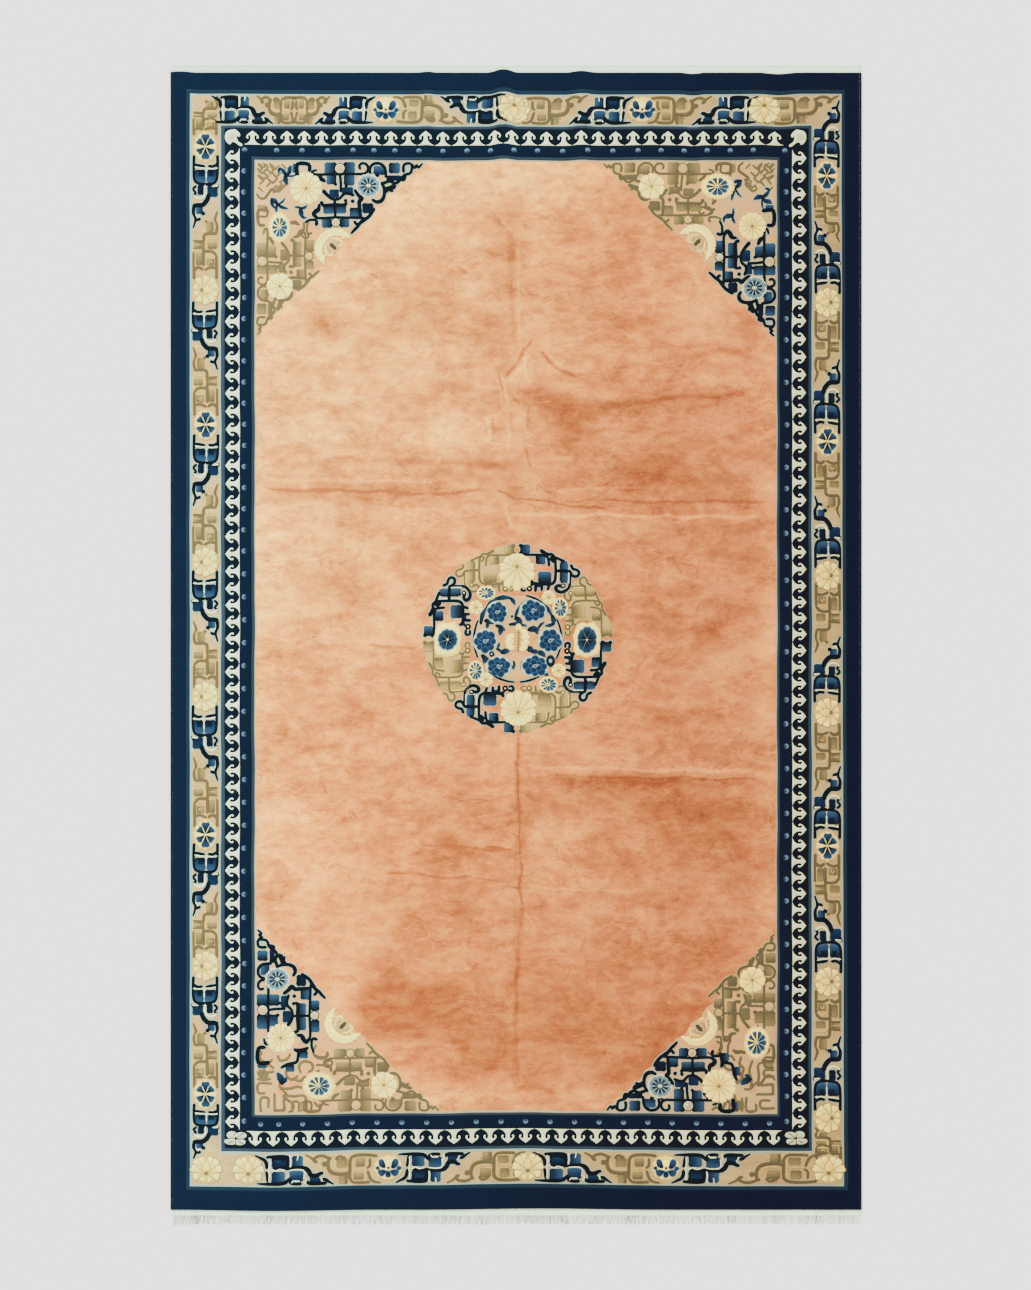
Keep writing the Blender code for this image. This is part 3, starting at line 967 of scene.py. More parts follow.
def make_carpet(pile, back):
    """Foundation and pile: a finely stepped face, walls round the rim, and a coarser woven underside."""
    boxes = [stripe_box(s) for s in STRIPES]
    x_edges = [b[k] for b in boxes for k in (0, 1)]
    y_edges = [b[k] for b in boxes for k in (2, 3)]
    beside = (-GROOVE, 0, GROOVE)
    across = grid_lines(-HALF_BODY, HALF_BODY, x_edges, beside, RIM, ACROSS_STEP, CREASE_LINES)
    along = grid_lines(PILE_BOTTOM, PILE_TOP, y_edges, beside, RIM, ALONG_STEP)
    flat_x, flat_y = (g.ravel() for g in np.meshgrid(across, along))
    x, y = settle(flat_x, flat_y)
    groove, rounding = carve(flat_x, flat_y)
    points = [np.stack([x, y, pile_face(x, y) - groove - rounding], axis=1)]
    faces = grid_faces(len(across), len(along))
    rim = grid_rim(len(across), len(along))
    count = len(flat_x)
    around = len(rim)
    for height in (FOUNDATION, 0.0):
        points.append(np.stack([x[rim], y[rim], lift(x[rim], y[rim]) + height], axis=1))
    walls = []
    for k in range(around):
        m = (k + 1) % around
        faces.append((rim[m], rim[k], count + k, count + m))
        walls.append((count + m, count + k, count + around + k, count + around + m))
    under_x, under_y, triangles = make_underside(x_edges, y_edges, flat_x[rim], flat_y[rim])
    settled_x, settled_y = settle(under_x, under_y)
    points.append(np.stack([settled_x, settled_y, lift(settled_x, settled_y)], axis=1)[around:])
    top_faces = len(faces)
    faces += walls + [tuple(count + around + i for i in reversed(t)) for t in triangles]
    flat_x = np.concatenate([flat_x, flat_x[rim], flat_x[rim], under_x[around:]])
    flat_y = np.concatenate([flat_y, flat_y[rim], flat_y[rim], under_y[around:]])
    clouding = np.array(STRIPE_CLOUDING)[stripe_depth(flat_x, flat_y)]
    colours = pile_colours(flat_x, flat_y)
    piece = make_mesh("carpet_pile", np.concatenate(points), faces, colours, [pile, back], clouding)
    slots = np.zeros(len(faces), np.int32)
    slots[top_faces:] = 1
    piece.data.polygons.foreach_set("material_index", slots)
    piece.data.set_sharp_from_angle(angle=math.radians(50))
    return piece


def make_underside(x_edges, y_edges, rim_x, rim_y):
    """The underside's points, the rim's first, and its triangles."""
    beside = (-GROOVE / 2, GROOVE / 2)
    across = grid_lines(-HALF_BODY, HALF_BODY, x_edges, beside, (0.0,), BACK_STEP)[1:-1]
    along = grid_lines(PILE_BOTTOM, PILE_TOP, y_edges, beside, (0.0,), BACK_STEP)[1:-1]
    inside = [Vector((x, y)) for y in along for x in across]
    rim = [Vector(p) for p in zip(rim_x, rim_y)]
    edges = [(i, (i + 1) % len(rim)) for i in range(len(rim))]
    _, _, triangles, origins, _, _ = delaunay_2d_cdt(rim + inside, edges, [], 1, 1e-7)
    order = [origin[0] for origin in origins]
    under = np.array([tuple(p) for p in rim + inside])
    triangles = [tuple(order[i] for i in t) for t in triangles]
    return under[:, 0], under[:, 1], triangles


# ---------------------------------------------------------------- shapes of a motif
# A palette names what a fretwork motif is drawn in. Its scale thins or thickens the lines.
Palette = namedtuple("Palette", "line deep middle light glow halo scale")
BLUES = Palette(
    INK, BLUE_DEEP, between(BLUE_DEEP, BLUE, 0.7), between(BLUE, BLUE_LIGHT, 0.75), CLOUD,
    between(between(LINE, CLOUD, 0.4), BLUE_LIGHT, 0.35), 1.42,
)
TANS = Palette(
    between(OLIVE, TAN, 0.30), between(OLIVE, TAN, 0.55), TAN, between(TAN, STRAW, 0.75), CREAM_SHADE,
    between(CREAM_SHADE, GROUND, 0.4), 1.55,
)
TANS_SOFT = Palette(
    between(OLIVE, TAN, 0.45), between(TAN, STRAW, 0.4), between(TAN, STRAW, 0.8), CREAM_SHADE, CREAM,
    between(CREAM_SHADE, GROUND, 0.4), 1.2,
)
WREATH = Palette(INK, BLUE_DEEP, BLUE, BLUE_LIGHT, CLOUD, between(LINE, CREAM_SHADE, 0.5), 1.0)

# A stroke's points are in its motif's own coordinates. Its widths, in millimetres, spread over its length.
Stroke = namedtuple("Stroke", "widths points")
# A block runs over u0..u1 and v0..v1, and grades from dark to light towards its lit side.
Block = namedtuple("Block", "tone u0 u1 v0 v1 lit")
# A ring is a drawn circle round a filled one: centre, radius, and width of its line in millimetres.
Ring = namedtuple("Ring", "u v radius width")
# A fretwork design: drawn lines, filled blocks, pale lines between them, rings, and small dots.
Design = namedtuple("Design", "lines blocks glows rings dots", defaults=((), (), ()))
HALO = 0.0036  # width of the pale rim round what is drawn
BLOCK_ROUNDING = 0.16  # how far a block's corners are cut, in parts of its sides


def stroke_path(at, stroke, scale=1.0, extra=0.0):
    return ribbon(put_all(at, stroke.points), [w * 0.001 * scale + extra for w in stroke.widths])


def block_outline(at, block):
    """A block with softened corners and slightly hollow sides."""
    u0, u1, v0, v1 = block.u0, block.u1, block.v0, block.v1
    du, dv = (u1 - u0) * BLOCK_ROUNDING, (v1 - v0) * BLOCK_ROUNDING
    hu, hv = (u1 - u0) * 0.03, (v1 - v0) * 0.03
    mu, mv = (u0 + u1) / 2, (v0 + v1) / 2
    corners = (
        (u0 + du, v0), (mu, v0 + hv), (u1 - du, v0), (u1, v0 + dv), (u1 - hu, mv), (u1, v1 - dv),
        (u1 - du, v1), (mu, v1 - hv), (u0 + du, v1), (u0, v1 - dv), (u0 + hu, mv), (u0, v0 + dv),
    )
    return put_all(at, corners)


LIT_ENDS = {
    "+u": (0.25, 0.5, 1.0, 0.5),
    "-u": (0.75, 0.5, 0.0, 0.5),
    "+v": (0.5, 0.25, 0.5, 1.0),
    "-v": (0.5, 0.75, 0.5, 0.0),
}


def block_fade(at, block, palette):
    """Dark to light over the block, starting from the palette's dye that the block's tone names."""
    dark, light = {
        "ink": (palette.line, palette.deep),
        "full": (palette.line, palette.light),
        "deep": (palette.deep, palette.middle),
        "mid": (palette.deep, palette.light),
        "light": (palette.middle, palette.light),
        "pale": (palette.middle, palette.halo),
    }[block.tone]
    a, b, c, d = LIT_ENDS[block.lit]
    du, dv = block.u1 - block.u0, block.v1 - block.v0
    x0, y0 = at(block.u0 + a * du, block.v0 + b * dv)
    x1, y1 = at(block.u0 + c * du, block.v0 + d * dv)
    return Fade(dark, light, x0, y0, x1, y1)


def fretwork(drawing, at, palette, design, weight=1.0):
    """Blocks and lines with pale halos under them, pale lines between, and small drawn rings and dots."""
    strokes, blocks, glows, rings, dots = design
    drawing.motif()
    scale = palette.scale * weight
    for stroke in strokes:
        drawing.patch(stroke_path(at, stroke, scale, 2 * HALO), palette.halo, LEVEL_UNDER)
    for block in blocks:
        drawing.patch(grown(block_outline(at, block), HALO), palette.halo, LEVEL_UNDER)
    for block in blocks:
        rim = between(palette.line, palette.deep, 0.3)
        drawing.patch(grown(block_outline(at, block), 0.0015), rim, LEVEL_LINE)
    for block in blocks:
        drawing.patch(block_outline(at, block), block_fade(at, block, palette), LEVEL_FILL)
        if block.tone in ("mid", "full"):
            block_streaks(drawing, at, block, palette)
    for stroke in strokes:
        drawing.patch(stroke_path(at, stroke, scale), palette.line, LEVEL_TOP)
    for stroke in glows:
        drawing.patch(stroke_path(at, stroke, 0.8), palette.glow, LEVEL_DETAIL)
    for ring in rings:
        x, y = at(ring.u, ring.v)
        x1, y1 = at(ring.u + ring.radius, ring.v)
        radius = math.hypot(x1 - x, y1 - y)
        drawing.patch(ellipse(x, y, radius, radius), palette.line, LEVEL_TOP)
        inner = radius - ring.width * 0.001 * palette.scale
        drawing.patch(ellipse(x, y, inner, inner), palette.glow, LEVEL_DETAIL)
    for u, v, size in dots:
        x, y = at(u, v)
        radius = size * 0.001
        drawing.patch(ellipse(x, y, radius + HALO, radius + HALO, count=12), palette.halo, LEVEL_UNDER)
        drawing.patch(ellipse(x, y, radius, radius, count=12), palette.line, LEVEL_TOP)


def block_streaks(drawing, at, block, palette):
    """A few lighter rows of knots in a block, along its lit direction."""
    tone = between(palette.middle, palette.light, 0.35)
    du, dv = block.u1 - block.u0, block.v1 - block.v0
    for share in (0.28, 0.62):
        if block.lit.endswith("u"):
            v = block.v0 + dv * share
            ends = ((block.u0 + du * 0.25, v), (block.u1 - du * 0.12, v))
        else:
            u = block.u0 + du * share
            ends = ((u, block.v0 + dv * 0.25), (u, block.v1 - dv * 0.12))
        drawing.patch(ribbon(put_all(at, ends), [0.0016, 0.0022]), tone, LEVEL_FILL)


# ---------------------------------------------------------------- cloud-head border
CLOUD_HALF = (
    (0.00, 1.00), (0.07, 0.93), (0.19, 0.83), (0.31, 0.71), (0.375, 0.58), (0.375, 0.47), (0.32, 0.40),
    (0.25, 0.40), (0.21, 0.45), (0.24, 0.52), (0.24, 0.59), (0.18, 0.64), (0.135, 0.59), (0.125, 0.48),
    (0.15, 0.34), (0.22, 0.21), (0.34, 0.10), (0.505, 0.035),
)
# Rows of cloud heads: a head's number and its tip's place along the row, even between the given ones.
CLOUD_TOP = (
    (0, 252.6), (5, 338.9), (10, 425.7), (15, 512.0), (20, 598.4), (23, 650.5), (26, 703.3), (30, 774.8),
)
CLOUD_BOTTOM = (
    (0, 255.1), (4, 326.8), (7, 380.3), (11, 453.8), (13, 489.9), (16, 543.2), (19, 596.2), (23, 666.5),
    (29, 773.2),
)
CLOUD_LEFT = (
    (0, 157.4), (6, 266.6), (10, 340.3), (15, 429.8), (19, 502.3), (24, 589.1), (30, 689.0), (36, 787.5),
    (42, 887.6), (48, 988.0), (56, 1121.5),
)
CLOUD_RIGHT = (
    (0, 158.3), (6, 266.2), (10, 339.3), (15, 428.5), (20, 518.2), (24, 586.4), (27, 634.3), (30, 683.7),
    (35, 766.0), (40, 845.6), (45, 925.9), (50, 1006.7), (57, 1121.6),
)
# Each row's base line and the line of its tips, in photo pixels.
CloudRow = namedtuple("CloudRow", "knots base tip lengthwise")
CLOUD_ROWS = (
    CloudRow(CLOUD_TOP, 144.6, 130.2, False),
    CloudRow(CLOUD_BOTTOM, 1130.7, 1145.8, False),
    CloudRow(CLOUD_LEFT, 239.6, 224.9, True),
    CloudRow(CLOUD_RIGHT, 792.2, 806.8, True),
)
# Where two rows meet, and the size of what is drawn there, in photo pixels.
Meeting = namedtuple("Meeting", "px py wide high")
CLOUD_CORNERS = (Meeting(224.8, 129.8, 15.4, -15.4), Meeting(806.6, 130.0, -15.4, -15.4))
FLORAL_CORNERS = (Meeting(225.0, 1146.0, 20.0, 14.6), Meeting(806.4, 1146.0, -20.0, 14.6))
# The leaves of the cluster in a lower corner, and their veins, in parts of its size.
Leaflet = namedtuple("Leaflet", "u v half_u half_v")
LEAFLETS = (
    Leaflet(0.30, 0.34, 0.34, 0.24),
    Leaflet(0.72, 0.30, 0.30, 0.22),
    Leaflet(0.34, 0.76, 0.26, 0.26),
    Leaflet(0.80, 0.74, 0.28, 0.22),
)
VEINS = (
    ((0.05, 0.50), (0.35, 0.55), (0.60, 0.46), (0.98, 0.52)),
    ((0.50, 0.10), (0.52, 0.40), (0.46, 0.95)),
    ((0.18, 0.22), (0.40, 0.36)),
    ((0.88, 0.16), (0.66, 0.36)),
    ((0.90, 0.90), (0.66, 0.64)),
)


def row_places(knots):
    """Every motif's place along its row, even between the given ones."""
    last = knots[-1][0]
    return np.interp(range(last + 1), [k[0] for k in knots], [k[1] for k in knots])


def cloud_head(drawing, at):
    """A cream cloud head, its two curls hooked inwards, pointing along +v from a base one unit wide."""
    drawing.motif()
    half = rounded(CLOUD_HALF, 2, closed=False)
    outline = half + [(0.505, -0.02), (-0.505, -0.02)] + [(-u, v) for u, v in reversed(half[1:])]
    drawing.patch(grown(put_all(at, outline), -0.0014), CLOUD, LEVEL_FILL)
    eye = 0.0013
    for u in (-0.06, 0.06):
        x, y = at(u, 0.76)
        drawing.patch(ellipse(x, y, eye, eye, count=6), OLIVE, LEVEL_TOP)


def cloud_corner(drawing, at):
    """The large round cloud head where two rows meet. Both u and v run inwards from the corner."""
    drawing.motif()
    outline = (
        (0.02, 0.55), (0.06, 0.22), (0.25, 0.05), (0.50, 0.00), (0.66, -0.02), (0.78, 0.06), (0.90, 0.16),
        (1.00, 0.30), (0.99, 0.42), (0.90, 0.48), (0.84, 0.40), (0.78, 0.44), (0.80, 0.62), (0.90, 0.80),
        (1.12, 0.93), (1.12, 1.06), (0.98, 1.06), (0.86, 0.98), (0.70, 0.86), (0.55, 0.80), (0.44, 0.84),
        (0.36, 0.96), (0.24, 0.92), (0.10, 0.78),
    )
    drawing.patch(put_all(at, rounded(outline, 2)), CLOUD, LEVEL_FILL)
    inner = ((0.22, 0.50), (0.30, 0.28), (0.52, 0.20), (0.66, 0.34), (0.62, 0.58), (0.44, 0.68), (0.28, 0.64))
    drawing.patch(put_all(at, rounded(inner, 2)), between(CLOUD, GROUND, 0.55), LEVEL_TOP)


def floral_corner(drawing, at):
    """A grey-beige cluster of small leaves with dark veins, where the lower rows meet."""
    drawing.motif()
    for u, v, half_u, half_v in LEAFLETS:
        angles = np.linspace(0, 2 * math.pi, 12)[:-1]
        points = [(u + half_u * math.cos(a), v + half_v * math.sin(a)) for a in angles]
        drawing.patch(put_all(at, rounded(points, 2)), between(CLOUD, TAN, 0.30), LEVEL_FILL)
    for points in VEINS:
        drawing.patch(ribbon(put_all(at, points), [0.004, 0.003]), CLOUD_DARK, LEVEL_TOP)


def draw_cloud_row(drawing, row):
    places = row_places(row.knots)
    last = len(places) - 1
    for k, middle in enumerate(places):
        before, after = places[max(k - 1, 0)], places[min(k + 1, last)]
        pitch = (after - before) / (1 if k in (0, last) else 2)
        if row.lengthwise:
            x, y = place(row.base, middle)
            at = spot(x, y, 0.0, pitch * PIXEL, (row.tip - row.base) * PIXEL, 0.0)
        else:
            x, y = place(middle, row.base)
            at = spot(x, y, pitch * PIXEL, 0.0, 0.0, (row.base - row.tip) * PIXEL)
        cloud_head(drawing, at)


def draw_cloud_border(drawing):
    for row in CLOUD_ROWS:
        draw_cloud_row(drawing, row)
    for draw, corners in ((cloud_corner, CLOUD_CORNERS), (floral_corner, FLORAL_CORNERS)):
        for px, py, wide, high in corners:
            x, y = place(px, py)
            draw(drawing, spot(x, y, wide * PIXEL, 0.0, 0.0, high * PIXEL))


# ---------------------------------------------------------------- pearls
PEARL_RADIUS = 0.0104
PEARLS_TOP = ((0, 276.6), (3, 353.0), (5, 394.9), (8, 467.0), (11, 537.5), (15, 638.0), (20, 753.3))
PEARLS_BOTTOM = ((0, 260.5), (1, 278.7), (2, 302.6), (10, 501.0), (15, 623.5), (21, 769.5))
PEARLS_LEFT = ((0, 171.2), (12, 424.7), (18, 551.4), (24, 689.0), (30, 825.5), (36, 964.0), (42, 1097.5))
PEARLS_RIGHT = ((0, 170.5), (12, 425.0), (16, 510.0), (20, 604.0), (25, 724.0), (30, 836.0), (42, 1096.5))
# The line of each row, and the lone pearls past the rows' ends.
PEARLS_TOP_PY = 150.2
PEARLS_BOTTOM_PY = 1123.4
PEARLS_LEFT_PX = 244.4
PEARLS_RIGHT_PX = 786.2
TOP_ENDS_PX = (244.6, 784.8)
LEFT_END_PY = 1121.0
RIGHT_END_PY = 1121.5


def pearl(drawing, px, py, lit_x, lit_y):
    """A round pearl, lit on the side towards (lit_x, lit_y) and sinking into the navy on the other."""
    drawing.motif()
    x, y = place(px, py)
    r = PEARL_RADIUS
    dim = between(PEARL_BAND, PEARL, 0.06)
    up_x, up_y = lit_x * r, lit_y * r
    lit = Fade(PEARL, dim, x + up_x * 0.45, y + up_y * 0.45, x - up_x * 0.75, y - up_y * 0.75)
    drawing.patch(ellipse(x, y, r, r, count=22), lit, LEVEL_LINE)
    low_x, low_y = x - up_x * 0.30 + up_y * 0.14, y - up_y * 0.30 - up_x * 0.14
    half_lit = between(PEARL_BAND, PEARL, 0.34)
    shade = Fade(half_lit, PEARL_BAND, low_x, low_y, low_x - up_x * 0.4, low_y - up_y * 0.4)
    drawing.patch(ellipse(low_x, low_y, r * 0.50, r * 0.50, count=14), shade, LEVEL_FILL)


def draw_pearls(drawing):
    for px in [TOP_ENDS_PX[0], *row_places(PEARLS_TOP), TOP_ENDS_PX[1]]:
        pearl(drawing, px, PEARLS_TOP_PY, 0.0, 1.0)
    for px in row_places(PEARLS_BOTTOM):
        pearl(drawing, px, PEARLS_BOTTOM_PY, 0.0, -1.0)
    for py in [*row_places(PEARLS_LEFT), LEFT_END_PY]:
        pearl(drawing, PEARLS_LEFT_PX, py, -1.0, 0.0)
    for py in [*row_places(PEARLS_RIGHT), RIGHT_END_PY]:
        pearl(drawing, PEARLS_RIGHT_PX, py, 1.0, 0.0)


# ---------------------------------------------------------------- flowers
def ray(x, y, angle, r, squash=1.0, axis=0.0):
    """The point at radius r in a direction, on a circle squashed across its axis."""
    u, v = r * math.cos(angle), r * math.sin(angle) * squash
    return (x + u * math.cos(axis) - v * math.sin(axis), y + u * math.sin(axis) + v * math.cos(axis))


PETAL = (
    (0.00, -0.25), (0.55, -0.85), (0.80, -1.0), (0.95, -0.75), (1.0, -0.38), (0.96, 0.0),
    (1.0, 0.38), (0.95, 0.75), (0.80, 1.0), (0.55, 0.85), (0.00, 0.25),
)


def petal(x, y, angle, r0, r1, half, squash=1.0, axis=0.0):
    """A rounded wedge petal from radius r0 to r1, with a slight notch in its rim."""
    points = [ray(x, y, angle + a * half, r0 + (r1 - r0) * r, squash, axis) for r, a in PETAL]
    return rounded(points, 2)


def petal_ring(
    drawing, x, y, r, count, first, second, level, start, squash=1.0, axis=0.0, inner=0.1, fill=0.92
):
    """A ring of petals that grade from the first dye at the heart to the second at the rim."""
    for k in range(count):
        angle = start + 2 * math.pi * k / count
        x0, y0 = ray(x, y, angle, r * 0.30, squash, axis)
        x1, y1 = ray(x, y, angle, r, squash, axis)
        outline = petal(x, y, angle, r * inner, r, fill * math.pi / count, squash, axis)
        drawing.patch(outline, Fade(first, second, x0, y0, x1, y1), level)


# Halves of a blue flower's petals, in photo pixels from its heart.
WING = ((3.0, 1.0), (3.6, 4.4), (5.0, 7.6), (7.0, 9.0), (9.2, 7.6), (9.6, 4.6), (8.0, 1.8), (5.2, 0.2))
SIDE_WING = ((8.6, 0.2), (10.4, 1.6), (12.8, 0.4), (11.4, -1.4), (9.4, -1.4))
LOWER_WING = (
    (1.8, -2.6), (5.0, -2.2), (8.8, -1.8), (10.2, -3.6), (9.0, -6.6), (6.4, -7.8), (4.2, -6.2),
    (2.6, -4.2),
)
DROP = (
    (0.0, -3.0), (1.7, -3.6), (2.7, -6.6), (1.9, -8.8), (0.0, -9.2), (-1.9, -8.8), (-2.7, -6.6),
    (-1.7, -3.6),
)
THROAT = (
    (0.0, 8.6), (2.6, 7.8), (3.3, 5.0), (2.4, 1.8), (1.2, -0.6), (-1.2, -0.6), (-2.4, 1.8), (-3.3, 5.0),
    (-2.6, 7.8),
)
# Its paired petals, dark at the foot and light at the rim.
Wing = namedtuple("Wing", "outline foot rim")
WINGS = (Wing(WING, (4, 2), (8, 9)), Wing(SIDE_WING, (9, 0), (13, 0)), Wing(LOWER_WING, (3, -3), (9, -7)))


def butterfly_flower(drawing, x, y, step):
    """A blue flower seen from its side: two wings up, petals out and down, round a white throat."""
    drawing.motif(FLOWER_RISE)
    at = spot(x, y, step, 0.0, 0.0, step)
    petal_ring(
        drawing, *at(0, 0.6), step * 15.6, 13, CREAM, CREAM_SHADE, LEVEL_UNDER, 0.1, 0.86, 0.0, 0.0, 1.1,
    )
    petal_ring(
        drawing, *at(0, 0.6), step * 14.2, 11, CREAM_LIGHT, CREAM, LEVEL_LINE, math.pi / 2, 0.86, 0.0,
        0.0, 1.0,
    )
    light = between(BLUE, BLUE_LIGHT, 0.5)
    for side in (-1, 1):
        for petals, foot, rim in WINGS:
            shade = Fade(BLUE_DEEP, light, *at(side * foot[0], foot[1]), *at(side * rim[0], rim[1]))
            outline = put_all(at, rounded([(side * u, v) for u, v in petals], 2))
            drawing.patch(grown(outline, step * 1.15), BLUE_PALE, LEVEL_LINE)
            drawing.patch(grown(outline, step * 0.50), shade, LEVEL_FILL)
        arc = ((side * 9.6, 0.2), (side * 6.4, -0.9), (side * 3.4, -1.8), (0.0, -2.6))
        drawing.patch(ribbon(put_all(at, arc), [step * 0.6, step * 1.0]), BLUE_PALE, LEVEL_TOP)
    outline = put_all(at, rounded(DROP, 2))
    drawing.patch(grown(outline, step * 0.6), BLUE_PALE, LEVEL_FILL)
    drawing.patch(outline, Fade(INK, BLUE, *at(0, -3), *at(0, -9)), LEVEL_TOP)
    drawing.patch(put_all(at, rounded(THROAT, 2)), CREAM_LIGHT, LEVEL_TOP)
    drawing.patch(ellipse(*at(0, 0.4), step * 1.6, step * 1.4), OLIVE_DEEP, LEVEL_DETAIL)


# Petals of the side border's blue flower: direction, reach and half width.
SidePetal = namedtuple("SidePetal", "angle reach half")
CROSS_PETALS = (
    SidePetal(math.pi / 2, 12.8, 0.42), SidePetal(-math.pi / 2, 12.8, 0.42), SidePetal(0.70, 10.0, 0.44),
    SidePetal(-0.70, 10.0, 0.44), SidePetal(math.pi - 0.70, 10.0, 0.44),
    SidePetal(math.pi + 0.70, 10.0, 0.44),
)
CROSS_LINES = (
    (1.13, 8.4), (math.pi - 1.13, 8.4), (-1.13, 8.4), (math.pi + 1.13, 8.4), (0.0, 6.0), (math.pi, 6.0),
)


def side_flower(drawing, x, y, step):
    """A long blue flower of six round petals, three at each end, parted by pale lines that cross."""
    drawing.motif(FLOWER_RISE)
    petal_ring(
        drawing, x, y, step * 16.6, 12, CREAM, CREAM_SHADE, LEVEL_UNDER, 0.1, 0.74, math.pi / 2, 0.0, 1.1,
    )
    petal_ring(
        drawing, x, y, step * 14.8, 12, CREAM_LIGHT, CREAM, LEVEL_LINE, 0.0, 0.76, math.pi / 2, 0.0, 1.0,
    )
    for p in CROSS_PETALS:
        x0, y0 = ray(x, y, p.angle, step * 4)
        x1, y1 = ray(x, y, p.angle, step * p.reach)
        rim = petal(x, y, p.angle, step * 0.8, step * (p.reach + 0.9), p.half * 1.12)
        drawing.patch(rim, BLUE_PALE, LEVEL_LINE)
        shade = Fade(INK, between(BLUE, BLUE_LIGHT, 0.5), x0, y0, x1, y1)
        drawing.patch(petal(x, y, p.angle, step * 0.6, step * p.reach, p.half * 1.02), shade, LEVEL_FILL)
    for angle, reach in CROSS_LINES:
        path = [ray(x, y, angle, step * 0.2), ray(x, y, angle, step * reach)]
        drawing.patch(ribbon(path, [step * 0.55, step * 0.40]), between(BLUE_PALE, CLOUD, 0.4), LEVEL_TOP)
    drawing.patch(ellipse(x, y, step * 0.8, step * 1.2, count=10), CREAM_LIGHT, LEVEL_DETAIL)


# Petals of the cream flower round its star: direction, reach and half width.
SIDE_PETALS = (
    SidePetal(1.05, 0.62, 0.42), SidePetal(2.10, 0.62, 0.42), SidePetal(0.28, 0.92, 0.32),
    SidePetal(2.86, 0.92, 0.32),
    SidePetal(-0.36, 1.10, 0.27), SidePetal(-2.78, 1.10, 0.27), SidePetal(-0.88, 1.20, 0.24),
    SidePetal(-2.26, 1.20, 0.24), SidePetal(-1.28, 1.18, 0.20), SidePetal(-1.86, 1.18, 0.20),
)
# Outline of its heart, in parts of its radius.
CREAM_HEART = (
    (0.0, 0.16), (0.22, 0.06), (0.25, -0.16), (0.14, -0.42), (0.0, -0.60), (-0.14, -0.42), (-0.25, -0.16),
    (-0.22, 0.06),
)


def cream_flower(drawing, x, y, r, axis):
    """A cream flower seen half from its side: petals fan out from a tan star near its upper rim."""
    drawing.motif(FLOWER_RISE)
    petal_ring(drawing, x, y, r, 10, CREAM, CREAM_SHADE, LEVEL_UNDER, math.pi / 2, 1.0, axis, 0.0, 1.15)
    star_x, star_y = ray(x, y, math.pi / 2, r * 0.27, 1.0, axis)
    for p in SIDE_PETALS:
        angle, reach = p.angle + axis, r * p.reach
        drawing.patch(petal(star_x, star_y, angle, 0, reach * 1.03, p.half * 1.15), STRAW, LEVEL_LINE)
        x1, y1 = ray(star_x, star_y, angle, reach)
        shade = Fade(CREAM_SHADE, CREAM_LIGHT, star_x, star_y, x1, y1)
        drawing.patch(petal(star_x, star_y, angle, reach * 0.05, reach * 0.98, p.half), shade, LEVEL_LINE)
    outline = put_all(turned_spot(x, y, r, axis), rounded(CREAM_HEART, 2))
    drawing.patch(grown(outline, 0.0022), STRAW, LEVEL_FILL)
    drawing.patch(outline, CREAM, LEVEL_TOP)
    petal_ring(drawing, star_x, star_y, r * 0.15, 5, OLIVE, TAN, LEVEL_DETAIL, axis + 0.3, 1.0, 0.0, 0.0, 0.7)


def fan_flower(drawing, x, y, r, axis, count, reach=1.0, off=0.0):
    """A round cream flower of many petals parted by thin tan lines, its heart in or off its middle."""
    drawing.motif(FLOWER_RISE)
    heart_x, heart_y = x, y + off * r
    under = [ray(x, y, a, r * 0.90, reach) for a in np.linspace(0, 2 * math.pi, 33)[:-1]]
    drawing.patch(under, CREAM, LEVEL_UNDER)
    for part in (0, 1):
        for k in range(count):
            angle = axis + 2 * math.pi * (k + 0.5 * part) / count
            length = r * (math.sqrt(1 - (off * math.cos(angle)) ** 2) - off * math.sin(angle))
            if part == 0:
                half = 1.02 * math.pi / count * (1 + off * math.sin(angle))
                outline = petal(heart_x, heart_y, angle, 0, length, half, reach)
                x1, y1 = ray(heart_x, heart_y, angle, length, reach)
                drawing.patch(outline, Fade(CREAM, CREAM_LIGHT, heart_x, heart_y, x1, y1), LEVEL_LINE)
            else:
                bends = ((0.08, 0), (0.5, 0.05), (0.92, 0))
                path = [ray(heart_x, heart_y, angle + bend, length * t, reach) for t, bend in bends]
                drawing.patch(ribbon(path, [0.0030, 0.0014], 2), between(STRAW, CREAM_SHADE, 0.3), LEVEL_FILL)
    petal_ring(drawing, heart_x, heart_y, r * 0.11, 5, OLIVE, TAN, LEVEL_TOP, axis, 1.0, 0.0, 0.0, 0.8)


